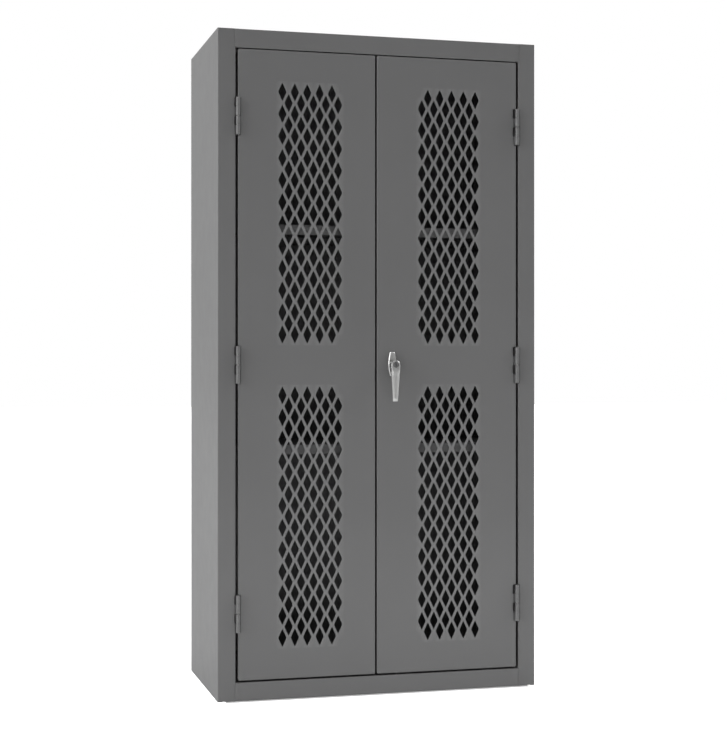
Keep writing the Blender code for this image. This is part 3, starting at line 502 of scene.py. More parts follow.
def pan(columns, rows, low, high, depth, lip, corner, border, sheet, holes=()):
    """Points and faces of a folded pan, in (across, along, depth).

    A grid of columns and rows makes the face, less the cells that holes name, and again the inner
    face. Between them runs the section of the folded edge, from the border over the bend, down the
    flange, round to the lip and back inside, one ring of points for every point of the section.
    """
    section = folded(
        [(border, 0), (0, 0), (0, depth), (lip, depth)],
        sheet.thickness, sheet.bend_radius, -1, lead=sheet.bend_lead,
    )
    rings = np.array([
        at(rounded_frame(columns, rows, low, high, corner, inset), "z", level)
        for inset, level in section
    ])
    index = np.arange(rings.shape[0] * rings.shape[1]).reshape(rings.shape[:2])
    points, faces = [rings.reshape(-1, 3)], [bands(index, closed=True)]
    grid = np.arange(len(rows) * len(columns)).reshape(len(rows), len(columns))
    keep = np.ones((len(rows) - 1, len(columns) - 1), bool)
    for first, last, left, right in holes:
        keep[first:last, left:right] = False
    quads = bands(grid, closed=False).reshape(len(rows) - 1, len(columns) - 1, 4)[keep]
    across, along = np.meshgrid(columns, rows)
    offset = index.size
    for level in (0.0, sheet.thickness):
        points.append(at(np.column_stack((across.ravel(), along.ravel())), "z", level))
        faces.append(quads + offset)
        offset += grid.size
    return np.vstack(points), faces


def quadrants(quarter):
    """A whole ring from the points of its upper right quarter, mirrored into the other three."""
    up, back = quarter[:-1], quarter[:0:-1]
    return np.vstack((up, back * (-1, 1), -up, back * (1, -1)))


def diamond(grille):
    """The hole's outline and the outward direction at each of its points.

    Two straight edges of one slope join an arc on the side corner to an arc on the tip, each arc
    tangent to both.
    """
    slope = math.atan2(grille.half_height, grille.half_width)
    lean = math.pi / 2 - slope
    side_angles = np.linspace(0, lean, 4)
    tip_angles = np.linspace(lean, math.pi / 2, 3)
    angles = np.concatenate((side_angles, tip_angles))
    facing = np.column_stack((np.cos(angles), np.sin(angles)))
    side_centre = (grille.half_width - grille.side_radius / math.sin(slope), 0.0)
    tip_centre = (0.0, grille.half_height - grille.tip_radius / math.cos(slope))
    centres = np.array([side_centre] * 4 + [tip_centre] * 3)
    radii = np.array([grille.side_radius] * 4 + [grille.tip_radius] * 3)[:, None]
    return quadrants(centres + radii * facing), quadrants(facing)


def cell_edge(grille):
    """Points along the upper right edge of the rhombic cell round a hole, alike from either end."""
    share = np.array([0.0, 0.1, 0.3, 0.5, 0.7, 0.9, 1.0])[:, None]
    return (1 - share) * (grille.column_pitch / 2, 0) + share * (0, grille.row_pitch)


def lattice(grille, thickness, middle, columns, rows):
    """Points and faces of one field of holes, in (across, along, depth), for its whole rectangle.

    Cells lie where the row and half-column numbers are both even or both odd. Those inside have a
    hole, with a flat rim, a rolled front edge and a straight wall. What is left between them and
    the rectangle is filled by quarters of cells without a hole, on both faces.
    """
    outline, facing = diamond(grille)
    edge = cell_edge(grille)
    roll = grille.edge_roll
    stations = (
        (roll * 1.8, 0.0), (roll, 0.0), (roll * 0.3, roll * 0.3), (0.0, roll),
        (0.0, thickness - roll / 2), (roll / 4, thickness),
    )
    cell = quadrants(edge)
    rings = [at(outline + offset * facing, "z", level) for offset, level in stations]
    rings = np.array([at(cell, "z", 0.0), *rings, at(cell, "z", thickness)])
    half_columns = np.arange(2 * columns + 2)
    row_numbers = np.arange(-1, rows + 1)
    number, half_column = np.meshgrid(row_numbers, half_columns, indexing="ij")
    even = (number - half_column) % 2 == 0
    number, half_column = number[even], half_column[even]
    centres = np.column_stack((
        middle[0] + (half_column - columns - 0.5) * grille.column_pitch / 2,
        middle[1] + (number - (rows - 1) / 2) * grille.row_pitch,
        np.zeros(len(number)),
    ))
    holed = (number >= 0) & (number < rows) & (half_column >= 1) & (half_column <= 2 * columns)
    points = (centres[holed][:, None, None, :] + rings).reshape(-1, 3)
    index = np.arange(len(points)).reshape(-1, *rings.shape[:2])
    faces = [bands(index, closed=True)]
    parts, offset = [points], len(points)
    quarter = np.vstack(((0.0, 0.0), edge))
    for across in (-1, 1):
        for along in (-1, 1):
            inside = ~holed
            inside &= (half_column + across >= 0) & (half_column + across <= 2 * columns + 1)
            inside &= (number + along >= -1) & (number + along <= rows)
            for level in (0.0, thickness):
                corner = at(quarter * (across, along), "z", level)
                spread = (centres[inside][:, None, :] + corner).reshape(-1, 3)
                parts.append(spread)
                faces.append(np.arange(len(spread)).reshape(-1, len(quarter)) + offset)
                offset += len(spread)
    return np.vstack(parts), faces


def rounded_section(corners, reach, steps=5):
    """Rings of polygons whose corners are replaced by quadratic curves.

    Corners is (rings, corners, 2). Each curve runs between two points that lie the reach, or 45
    hundredths of the shorter edge, away from its corner.
    """
    before = np.roll(corners, 1, axis=1) - corners
    after = np.roll(corners, -1, axis=1) - corners
    size_before = np.linalg.norm(before, axis=2, keepdims=True)
    size_after = np.linalg.norm(after, axis=2, keepdims=True)
    distance = np.minimum(reach, 0.45 * np.minimum(size_before, size_after))
    start = corners + before / size_before * distance
    end = corners + after / size_after * distance
    share = np.linspace(0, 1, steps)[:, None]
    start, middle, end = (points[:, :, None, :] for points in (start, corners, end))
    curve = (1 - share) ** 2 * start + 2 * share * (1 - share) * middle + share ** 2 * end
    return curve.reshape(len(corners), -1, 2)


def bead(path, outward, side, climb, fade, room):
    """Rings of a low weld along a path on a face: a slope, and a run that fades to the face.

    Climb is (across, above the face) pairs from the foot of the slope to its crest, and side says
    to which side of the path it looks. Room is how far each point of the path is from the end of
    the sheet, which the run keeps clear of.
    """
    path, climb = np.asarray(path, float), np.asarray(climb, float)
    along = np.gradient(path, axis=0)
    along /= np.linalg.norm(along, axis=1)[:, None]
    outward = np.asarray(outward, float)
    across = np.cross(along, outward) * side
    run = np.minimum(fade, room / np.maximum(np.abs(across[:, 2]), 0.001) + climb[-1, 0])
    run = run[:, None] * (-0.5, -1.0, -1.0)
    slope = np.tile(climb[[0, *range(len(climb))], 0], (len(path), 1))
    spread = np.hstack((slope, climb[-1, 0] + run))
    crest = climb[-1, 1]
    rise = np.concatenate(((-crest,), climb[:, 1], (crest * 0.45, 0.0, -crest)))
    return path[:, None, :] + spread[:, :, None] * across[:, None, :] + rise[:, None] * outward


# Pieces


def mesh_from(name, shells):
    """One mesh of several closed bodies, welded, with its faces pointing out."""
    faces, offset = [], 0
    for points, groups in shells:
        for group in groups:
            faces += (group + offset).tolist()
        offset += len(points)
    mesh = bpy.data.meshes.new(name)
    mesh.from_pydata(np.vstack([points for points, _groups in shells]).tolist(), [], faces)
    shape = bmesh.new()
    shape.from_mesh(mesh)
    bmesh.ops.remove_doubles(shape, verts=shape.verts, dist=WELD_DISTANCE)
    bmesh.ops.recalc_face_normals(shape, faces=shape.faces)
    shape.to_mesh(mesh)
    shape.free()
    return mesh


def combine(item, shells, operation):
    """Cut bodies out of an item, or join them to it, and keep the result as its mesh."""
    tool = bpy.data.objects.new(item.name + "_tool", mesh_from(item.name + "_tool", shells))
    bpy.context.scene.collection.objects.link(tool)
    modifier = item.modifiers.new("Cut", "BOOLEAN")
    modifier.operation, modifier.solver, modifier.object = operation, "EXACT", tool
    bpy.context.view_layer.update()
    evaluated = item.evaluated_get(bpy.context.evaluated_depsgraph_get())
    result = bpy.data.meshes.new_from_object(evaluated)
    item.modifiers.clear()
    old = item.data
    item.data = result
    result.name = item.name
    bpy.data.meshes.remove(old)
    bpy.data.objects.remove(tool)


def piece(name, shells, slot, node=None, joins=(), cuts=(), more_cuts=(), crease=40.0, edge=0.0):
    """A finished piece at the origin, with its place in its mesh.

    Bodies are joined to it, then cut out of it; cutters that overlap the others come in a group
    of their own. Its edges are rounded, and it gets its finish, its body and the node that it
    stands for. One without a node belongs to the cabinet.
    """
    item = bpy.data.objects.new(name, mesh_from(name, shells))
    bpy.context.scene.collection.objects.link(item)
    for bodies, operation in ((joins, "UNION"), (cuts, "DIFFERENCE"), (more_cuts, "DIFFERENCE")):
        if bodies:
            combine(item, bodies, operation)
    item.data.shade_smooth()
    item.data.set_sharp_from_angle(angle=math.radians(crease))
    if edge:
        bevel = item.modifiers.new("Edges", "BEVEL")
        bevel.width, bevel.segments = edge, 2
        bevel.limit_method, bevel.angle_limit = "ANGLE", math.radians(50)
        bevel.harden_normals = True
    item.data.materials.clear()
    item.data.materials.append(finish(slot))
    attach(item, frame["nodes"][node]["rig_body"] if node else "cabinet")
    if node:
        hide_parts(node)
    return item


def joint(name):
    """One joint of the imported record."""
    return next(entry for entry in frame["joints"] if entry["name"] == name)


def box(node):
    """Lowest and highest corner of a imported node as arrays."""
    low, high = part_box(node)
    return np.array(low), np.array(high)


def spindle_hole(scene):
    """Radius and centre, in x and z, of the round hole that clears the square spindle."""
    pivot = joint("handle_turn")["pos_m"]
    radius = scene.cabinet_handle.spindle_size / math.sqrt(2) + scene.cabinet_sheet.seat
    return radius, (pivot[0], pivot[2])


def middle_xy(node):
    """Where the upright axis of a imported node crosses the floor."""
    low, high = box(node)
    return ((low + high) / 2)[:2]


def hinge_spans():
    """Lowest and highest z of each hinge, from the lowest up."""
    corners = [box(f"left_{level}_frame_leaf") for level in LEVELS]
    return [(low[2], high[2]) for low, high in corners]


def notches(hinge, edge, far, front, depth):
    """Cutters between two x that let each hinge into the edge of a sheet."""
    return [brick(
        (edge, front - OVERRUN, bottom - hinge.notch_clearance),
        (far, front + depth, crown + hinge.notch_clearance),
    ) for bottom, crown in hinge_spans()]


def pockets(hinge, edge, far, front):
    """Cutters between two x beside every other knuckle of each hinge, from its second one up."""
    cutters = []
    for bottom, crown in hinge_spans():
        pitch = (crown - bottom) / hinge.knuckles
        cutters += [brick(
            (edge, front - OVERRUN, bottom + number * pitch),
            (far, front + hinge.pocket_depth, bottom + (number + 1) * pitch),
        ) for number in range(1, hinge.knuckles, 2)]
    return cutters


# Finishes


def put(tree, kind, values=(), **settings):
    """A new shader node with its settings and inputs; a value that is a socket is linked."""
    node = tree.nodes.new("ShaderNode" + kind)
    for name, setting in settings.items():
        setattr(node, name, setting)
    for name, value in dict(values).items():
        if isinstance(value, bpy.types.NodeSocket):
            tree.links.new(value, node.inputs[name])
        else:
            node.inputs[name].default_value = value
    return node


def sums(tree, operation, *values):
    """The result of one Math node."""
    return put(tree, "Math", enumerate(values), operation=operation).outputs[0]


def effect(build, output, **inputs):
    """The node group that a function builds, made when it is first asked for.

    The output is its name and kind, and each input is its kind and its first value.
    """
    if build.__name__ in bpy.data.node_groups:
        return bpy.data.node_groups[build.__name__]
    tree = bpy.data.node_groups.new(build.__name__, "ShaderNodeTree")
    for label, (kind, value) in inputs.items():
        socket = tree.interface.new_socket(
            name=label, in_out="INPUT", socket_type="NodeSocket" + kind
        )
        if value is not None:
            socket.default_value = value
    name, kind = output
    tree.interface.new_socket(name=name, in_out="OUTPUT", socket_type="NodeSocket" + kind)
    given, result = tree.nodes.new("NodeGroupInput"), tree.nodes.new("NodeGroupOutput")
    tree.links.new(build(tree, given.outputs), result.inputs[name])
    return tree


def orange_peel(tree, given):
    """Height of a sprayed coat: fine cells of noise over a slow swell four cells wide."""
    vector, cells = given["Vector"], given["Cells"]
    fine = put(tree, "TexNoise", {"Vector": vector, "Scale": cells, "Detail": 1.0})
    slower = sums(tree, "MULTIPLY", cells, 0.25)
    swell = put(tree, "TexNoise", {"Vector": vector, "Scale": slower, "Detail": 0.0})
    return sums(tree, "MULTIPLY_ADD", swell.outputs["Fac"], 0.6, fine.outputs["Fac"])


def wandering_tone(tree, given):
    """A colour times one plus or minus a share that slow noise gives."""
    vector, patches = given["Vector"], given["Patches"]
    noise = put(tree, "TexNoise", {"Vector": vector, "Scale": patches, "Detail": 3.0})
    spread = put(tree, "MapRange", {
        "Value": noise.outputs["Fac"], "From Min": 0.3, "From Max": 0.7,
        "To Min": sums(tree, "SUBTRACT", 1.0, given["Share"]),
        "To Max": sums(tree, "ADD", 1.0, given["Share"]),
    })
    return scaled(tree, given["Colour"], spread.outputs["Result"])


def rim_tone(tree, given):
    """Painted highlight: a colour made lighter by a share where the mesh's rim value is one."""
    rim = put(tree, "Attribute", attribute_name=PAINTED_HIGHLIGHT_ATTRIBUTE).outputs["Fac"]
    return scaled(tree, given["Colour"], sums(tree, "MULTIPLY_ADD", rim, given["Share"], 1.0))


def uneven_sheen(tree, given):
    """A roughness that noise moves between a lowest and a highest value."""
    vector, patches = given["Vector"], given["Patches"]
    noise = put(tree, "TexNoise", {"Vector": vector, "Scale": patches, "Detail": 4.0})
    return put(tree, "MapRange", {
        "Value": noise.outputs["Fac"], "To Min": given["Lowest"], "To Max": given["Highest"],
    }).outputs["Result"]


def scaled(tree, tint, gain):
    """A colour times a value."""
    return put(tree, "VectorMath", {0: tint, "Scale": gain}, operation="SCALE").outputs[0]


def coated(
    name, base, roughness, metallic, share, patches, cells, depth, stretch=(1, 1, 1), rim=0.0
):
    """A finish whose colour wanders, whose sheen is uneven and whose surface has a fine grain."""
    material = bpy.data.materials.new(name)
    material.use_nodes = True
    tree = material.node_tree
    place = put(tree, "TexCoord").outputs["Object"]
    vector = put(tree, "Mapping", {"Vector": place, "Scale": stretch}).outputs["Vector"]

    def group(build, output, kinds, values):
        """One effect's node with this finish's values; kinds holds the group's own defaults."""
        shared = effect(build, output, **kinds)
        return put(tree, "Group", values, node_tree=shared).outputs[0]

    tone = group(
        wandering_tone, ("Colour", "Color"),
        {"Vector": VECTOR, "Colour": GREY, "Share": ("Float", 0.03), "Patches": ("Float", 3.0)},
        {"Vector": vector, "Colour": (*base, 1), "Share": share, "Patches": patches},
    )
    # With a rim share, the coat gets a painted highlight beside the punched holes
    if rim:
        tone = group(
            rim_tone, ("Colour", "Color"), {"Colour": GREY, "Share": ("Float", 0.0)},
            {"Colour": tone, "Share": rim},
        )
    sheen = group(
        uneven_sheen, ("Roughness", "Float"),
        {"Vector": VECTOR, "Lowest": ("Float", 0.3), "Highest": ("Float", 0.5),
         "Patches": ("Float", 20.0)},
        {"Vector": vector, "Lowest": roughness - SHEEN_SPREAD, "Highest": roughness + SHEEN_SPREAD,
         "Patches": patches * 8},
    )
    grain = group(
        orange_peel, ("Height", "Float"), {"Vector": VECTOR, "Cells": ("Float", 600.0)},
        {"Vector": vector, "Cells": cells},
    )
    bump = put(tree, "Bump", {"Height": grain, "Distance": depth, "Strength": 1.0})
    shader = tree.nodes["Principled BSDF"]
    shader.inputs["Metallic"].default_value = metallic
    tree.links.new(tone, shader.inputs["Base Color"])
    tree.links.new(sheen, shader.inputs["Roughness"])
    tree.links.new(bump.outputs["Normal"], shader.inputs["Normal"])
    return material


def finish(slot):
    """The material of one slot of the record, made when it is first asked for."""
    name = slot + "_finish"
    if name in bpy.data.materials:
        return bpy.data.materials[name]
    sizes = bpy.context.scene.cabinet_finish
    if slot == "painted_steel":
        # Its rim share paints a highlight beside the punched holes of the doors
        return coated(
            name, sizes.paint, sizes.paint_roughness, metallic=0.0, share=sizes.paint_drift,
            patches=2.5, cells=1 / sizes.peel_size, depth=sizes.peel_depth, rim=sizes.rim_lift,
        )
    if slot == "cast_handle":
        return coated(
            name, sizes.cast, sizes.cast_roughness, metallic=1.0, share=0.03,
            patches=60.0, cells=1400.0, depth=0.000012,
        )
    if slot == "plated_steel":
        return coated(
            name, sizes.plated, sizes.plated_roughness, metallic=1.0, share=0.07,
            patches=40.0, cells=900.0, depth=0.00001, stretch=DRAWN_ALONG,
        )
    return coated(
        name, sizes.barrel, sizes.barrel_roughness, metallic=0.8, share=0.05,
        patches=200.0, cells=2500.0, depth=0.000006,
    )


# Operators


class CabinetOperator:
    """What all of the cabinet's operators share."""

    bl_options = {"REGISTER", "UNDO"}

    def execute(self, context):
        self.build(context.scene)
        return {"FINISHED"}


class CABINET_OT_carcass(CabinetOperator, bpy.types.Operator):
    """Fold the two sides, the back, the top with its header and the bottom with its skirt"""

    bl_idname = "cabinet.carcass"
    bl_label = "Carcass"

    def build(self, scene):
        self.sheet, self.hinge = scene.cabinet_sheet, scene.cabinet_hinge
        low, high = box("left_side_panel")
        self.front, self.back, self.top = low[1], high[1], high[2]
        self.half, self.stile = -low[0], -high[0]
        self.underside = box("top_panel")[0][2] + self.sheet.stop_lip
        self.level = box("bottom_panel")[1][2]
        for name, side in SIDES:
            self.side(name, side)
        self.back_panel()
        self.top_panel()
        self.bottom_panel()
        for name, side in SIDES:
            self.seam(f"{name}_header_seam", side, self.underside, self.top, 1)
            self.seam(f"{name}_skirt_seam", side, self.level, 0.0, -1)

    def fold(self, name, node, path, side, axis, ends, cuts, more_cuts=()):
        """One sheet folded along its path and carried along an axis."""
        sheet = self.sheet
        outline = folded(path, sheet.thickness, sheet.bend_radius, side, lead=sheet.bend_lead)
        piece(name, [prism(outline, axis, *ends)], "painted_steel", node, cuts=cuts,
              more_cuts=more_cuts, edge=sheet.edge_round)

    def side(self, name, side):
        """Outline in plan: rear flange, side, stile, return and lip, from the floor to the top."""
        sheet, hinge, front, top = self.sheet, self.hinge, self.front, self.top
        half, stile, behind = self.half, self.stile, front + sheet.stile_return
        path = [
            (side * (half - sheet.rear_flange), self.back), (side * half, self.back),
            (side * half, front), (side * stile, front),
            (side * stile, behind), (side * (stile + sheet.stile_lip), behind),
        ]
        edge, seat = side * (stile - OVERRUN), sheet.thickness + sheet.seat
        notch = hinge.stile_notch if side < 0 else hinge.right_stile_notch
        cuts = notches(hinge, edge, side * (stile + notch), front, sheet.bend_radius)
        cuts.append(brick(
            (edge, front + seat, top - seat),
            (side * (stile + sheet.stile_lip + OVERRUN), behind + OVERRUN, top + OVERRUN),
        ))
        drain = half - sheet.drain_inset
        cuts.append(brick(
            (side * drain, front - OVERRUN, -OVERRUN),
            (side * (drain - sheet.drain_width), front + sheet.thickness + OVERRUN,
             sheet.drain_height),
        ))
        beside = ()
        if side == LEFT:
            beside = pockets(hinge, edge, side * (stile + hinge.pocket_width), front)
        self.fold(name + "_side", name + "_side_panel", path, -side, "z", (0, top), cuts, beside)

    def back_panel(self):
        """A flat sheet that closes the back up to the underside of the top."""
        low, high = box("back_panel")
        high[2] = box("top_panel")[1][2] - self.sheet.thickness
        piece("back_sheet", [brick(low, high)], "painted_steel", "back_panel",
              edge=self.sheet.edge_round)

    def top_panel(self):
        """Outline from the side: door stop, header return, header and top, carried across."""
        sheet, front, top = self.sheet, self.front, self.top
        low, high = box("top_panel")
        stop = box("left_door_panel")[1][1] + DOOR_STOP_GAP
        path = [
            (stop, low[2]), (stop, self.underside), (front, self.underside), (front, top),
            (high[1], top),
        ]
        behind, under = stop + sheet.thickness + OVERRUN, top - sheet.thickness - sheet.seat / 2
        bend = front + sheet.bend_radius + sheet.seat
        corner = [
            (front - OVERRUN, low[2] - OVERRUN), (behind, low[2] - OVERRUN), (behind, under),
            (bend, under), (bend, top + OVERRUN), (front - OVERRUN, top + OVERRUN),
        ]
        cuts = [prism(corner, "x", side * (self.stile - sheet.seat), side * (high[0] + OVERRUN))
                for side in (LEFT, RIGHT)]
        cuts.append(self.strike("upper", self.underside))
        self.fold("top_and_header", "top_panel", path, -1, "x", (low[0], high[0]), cuts)

    def bottom_panel(self):
        """Outline from the side: rear skirt, floor, front skirt and foot flange, carried across."""
        sheet, front, level = self.sheet, self.front, self.level
        low, high = box("bottom_panel")
        back = high[1]
        path = [
            (back - sheet.foot_flange, 0), (back, 0), (back, level),
            (front, level), (front, 0), (front + sheet.foot_flange, 0),
        ]
        cuts = [brick(
            (side * (self.stile - sheet.seat), front - OVERRUN, -OVERRUN),
            (side * (high[0] + OVERRUN), front + sheet.stile_return + sheet.seat, level + OVERRUN),
        ) for side in (LEFT, RIGHT)]
        cuts.append(self.strike("lower", level))
        self.fold("floor_and_skirt", "bottom_panel", path, 1, "x", (low[0], high[0]), cuts)

    def strike(self, name, level):
        """A round cutter where a bolt rod enters the sheet."""
        reach = self.sheet.thickness + OVERRUN
        rod = middle_xy(name + "_bolt_rod")
        return drill(self.sheet.strike_radius, rod, "z", level - reach, level + reach)

    def seam(self, name, side, start, end, way):
        """A dressed weld along a joint of stile and rail, ending in a quarter circle outwards.

        Its slope is the mean of a quarter of an ellipse and a straight line, and it fades into
        the rail.
        """
        sheet, radius = self.sheet, self.sheet.seam_corner
        share = np.linspace(0, 1, 6)
        angles = share * math.pi / 2
        climb = np.column_stack((
            sheet.seam_width * (2 * np.cos(angles) - share) / 4,
            sheet.seam_height * (np.sin(angles) + share) / 2,
        ))
        limit = end - way * (radius + sheet.bend_radius)
        turn = np.linspace(0, math.pi / 2, 7)[1:]
        column = np.linspace(start + way * sheet.bend_radius * 0.6, limit, 12)
        z = np.concatenate((column, limit + way * radius * np.sin(turn)))
        x = side * (self.stile - sheet.seat / 2) + np.zeros(len(z))
        x[len(column):] += side * radius * (1 - np.cos(turn))
        path = at(np.column_stack((x, z)), "y", self.front)
        room = np.abs(end - z) - sheet.seat
        rings = bead(path, (0, -1, 0), side * way, climb, sheet.seam_fade, room)
        piece(name, [shell(rings)], "painted_steel", crease=60.0)


class CABINET_OT_shelving(CabinetOperator, bpy.types.Operator):
    """Make the shelves, the slotted standards and the clips between them"""

    bl_idname = "cabinet.shelving"
    bl_label = "Shelving"

    def build(self, scene):
        sheet, inner = scene.cabinet_sheet, scene.cabinet_inner
        for name in ("lower", "upper"):
            self.shelf(name, sheet, inner)
        for place in ("front", "rear"):
            for name, side in SIDES:
                self.standard(f"{place}_{name}", side, sheet, inner)
        for node in sorted(frame["nodes"]):
            if node.endswith("_clip"):
                self.clip(node)

    def shelf(self, name, sheet, inner):
        """A pan turned upside down, with the lips of its flanges underneath."""
        low, high = box(name + "_shelf")
        border = sheet.door_border
        columns, rows = (np.array([low[place] + border, high[place] - border]) for place in (0, 1))
        points, faces = pan(
            columns, rows, low, high, high[2] - low[2],
            inner.shelf_lip, inner.shelf_corner, border, sheet,
        )
        points[:, 2] = high[2] - points[:, 2]
        piece(name + "_tray", [(points, faces)], "painted_steel", name + "_shelf")

    def standard(self, name, side, sheet, inner):
        """A channel with its web towards the middle of the cabinet and a slot at every pitch."""
        low, high = box(name + "_standard")
        web, wall = (low[0], high[0]) if side > 0 else (high[0], low[0])
        path = [(wall, low[1]), (web, low[1]), (web, high[1]), (wall, high[1])]
        outline = folded(path, sheet.thickness, sheet.bend_radius, side, lead=sheet.bend_lead)
        clip_low, clip_high = box(f"lower_{name}_clip")
        step, room = inner.slot_pitch, inner.slot_clearance
        level = clip_low[2] + math.floor((high[2] - clip_low[2]) / step) * step
        cuts = []
        while level > low[2] + clip_high[2] - clip_low[2]:
            if level + TOP_SLOT_MARGIN < high[2]:
                cuts.append(brick(
                    (web - side * OVERRUN, clip_low[1] - room, level - room),
                    (web + side * (sheet.thickness + OVERRUN), clip_high[1] + room,
                     level + CLIP_THICKNESS + room),
                ))
            level -= step
        piece(name + "_channel", [prism(outline, "z", low[2], high[2])], "painted_steel",
              name + "_standard", cuts=cuts, edge=sheet.edge_round)

    def clip(self, node):
        """A bent tab: its hook stands up behind the web and its tongue lies under the shelf."""
        low, high = box(node)
        side = LEFT if node.endswith("_left_clip") else RIGHT
        hook, tongue = (low[0], high[0]) if side < 0 else (high[0], low[0])
        path = [(hook, high[2]), (hook, low[2]), (tongue, low[2])]
        outline = folded(path, CLIP_THICKNESS, CLIP_THICKNESS * 1.4, -side, steps=6)
        piece(node.replace("_clip", "_bracket"), [prism(outline, "y", low[1], high[1])],
              "plated_steel", node, edge=FITTING_EDGE)


class CABINET_OT_doors(CabinetOperator, bpy.types.Operator):
    """Fold the two door pans round their punched grilles and weld in their stiffeners"""

    bl_idname = "cabinet.doors"
    bl_label = "Doors"

    def build(self, scene):
        for name, side in SIDES:
            self.panel(name, side, scene)
            self.stiffener(name, scene.cabinet_sheet, scene.cabinet_inner)

    def panel(self, name, side, scene):
        """A pan whose grid leaves two rectangles open, each filled by one lattice of holes."""
        sheet, grille, hinge = scene.cabinet_sheet, scene.cabinet_grille, scene.cabinet_hinge
        low, high = box(name + "_door_panel")
        front, depth = low[1], high[1] - low[1]
        across = sorted((side * low[0], side * high[0]))
        height = box("left_side_panel")[1][2]
        outer = across[1] - grille.hinge_margin
        count = round((outer - grille.inner_x) / grille.column_pitch - 0.5) + 1
        span = (height - 2 * grille.end_margin - grille.spacing) / 2
        rows = round(span / grille.row_pitch) + 1
        middle = (outer + grille.inner_x) / 2
        levels = [height / 2 + field * (grille.spacing + span) / 2 for field in (-1, 1)]
        half_columns = middle + (np.arange(2 * count + 2) - count - 0.5) * grille.column_pitch / 2
        row_steps = (np.arange(-1, rows + 1) - (rows - 1) / 2) * grille.row_pitch
        border = sheet.door_border
        columns = np.concatenate(((across[0] + border,), half_columns, (across[1] - border,)))
        lines = np.concatenate((
            (low[2] + border,), levels[0] + row_steps, levels[1] + row_steps, (high[2] - border,)
        ))
        steps = len(row_steps)
        fields = [(1 + place * steps, (place + 1) * steps, 1, 2 * count + 2) for place in (0, 1)]
        parts = [pan(
            columns, lines, (across[0], low[2]), (across[1], high[2]), depth,
            sheet.door_lip, sheet.door_corner, border, sheet, fields,
        )]
        parts += [
            lattice(grille, sheet.thickness, (middle, level), count, rows) for level in levels
        ]
        shells = [
            (np.column_stack((side * points[:, 0], front + points[:, 2], points[:, 1])), faces)
            for points, faces in parts
        ]
        edge, notch = side * (across[1] + OVERRUN), across[1] - hinge.door_notch
        cuts = notches(hinge, edge, side * notch, front, sheet.bend_radius + sheet.seat)
        beside = ()
        if side == RIGHT:
            cuts += self.lock_holes(scene, front, low, high)
            beside = pockets(hinge, edge, notch - hinge.pocket_width, front)
        panel = piece(name + "_door_pan", shells, "painted_steel", name + "_door_panel",
                      cuts=cuts, more_cuts=beside, crease=48.0)
        self.mark_rims(panel, side, grille, (middle, levels), count, rows)

    def mark_rims(self, panel, side, grille, places, count, rows):
        """Store at each point how near it is to a hole: one at a rim, none on a field's border.

        Nearness is measured as a share of the hole's own rhombus, |x| / half width + |z| / half
        height about the nearest centre, of the even and of the odd rows. The stored value sets a
        painted highlight: the coat is lighter beside the holes.
        """
        middle, levels = places
        points = np.empty(len(panel.data.vertices) * 3)
        panel.data.vertices.foreach_get("co", points)
        points = points.reshape(-1, 3)
        across = side * points[:, 0] - middle
        nearest = np.full(len(points), np.inf)
        inside = np.zeros(len(points), bool)
        for level in levels:
            along = (points[:, 2] - level) / grille.row_pitch + (rows - 1) / 2
            inside |= np.abs(along - (rows - 1) / 2) < (rows + 1) / 2 - 0.01
            for shift in (-1, 0, 1):
                row = np.clip(np.round(along) + shift, 0, rows - 1)
                offset = np.where(row % 2 == 0, 1, -1) * grille.column_pitch / 4
                column = (across - offset) / grille.column_pitch
                column = np.clip(np.round(column), -(count - 1) / 2, (count - 1) / 2)
                share = np.abs(across - offset - column * grille.column_pitch) / grille.half_width
                share += np.abs(along - row) * grille.row_pitch / grille.half_height
                nearest = np.minimum(nearest, share)
        inside &= np.abs(across) < (2 * count + 1) / 4 * grille.column_pitch - WELD_DISTANCE * 10
        # Lighter coat near the holes: a painted highlight standing in for light on the punched
        # edges
        highlight_shares = np.clip((PAINTED_HIGHLIGHT_REACH - nearest) / PAINTED_HIGHLIGHT_FADE, 0, 1) * inside
        rim = panel.data.attributes.new(PAINTED_HIGHLIGHT_ATTRIBUTE, "FLOAT", "POINT")
        rim.data.foreach_set("value", highlight_shares.astype(np.float32))

    def lock_holes(self, scene, front, low, high):
        """Round cutters for the spindle and for the two rods."""
        sheet, inner = scene.cabinet_sheet, scene.cabinet_inner
        reach = sheet.thickness + OVERRUN
        cuts = [drill(*spindle_hole(scene), "y", front - OVERRUN, front + reach)]
        room = inner.rod_radius + inner.rod_hole_clearance
        for name, level in (("upper", high[2]), ("lower", low[2])):
            rod = middle_xy(name + "_bolt_rod")
            cuts.append(drill(room, rod, "z", level - reach, level + reach))
        return cuts

    def stiffener(self, name, sheet, inner):
        """A hat section carried up the door."""
        low, high = box(name + "_door_stiffener")
        path = hat(low, high, inner.stiffener_foot, inner.stiffener_sheet)
        outline = folded(path, inner.stiffener_sheet, sheet.bend_radius, 1, lead=sheet.bend_lead)
        piece(name + "_door_hat", [prism(outline, "z", low[2], high[2])], "painted_steel",
              name + "_door_stiffener", edge=sheet.edge_round)


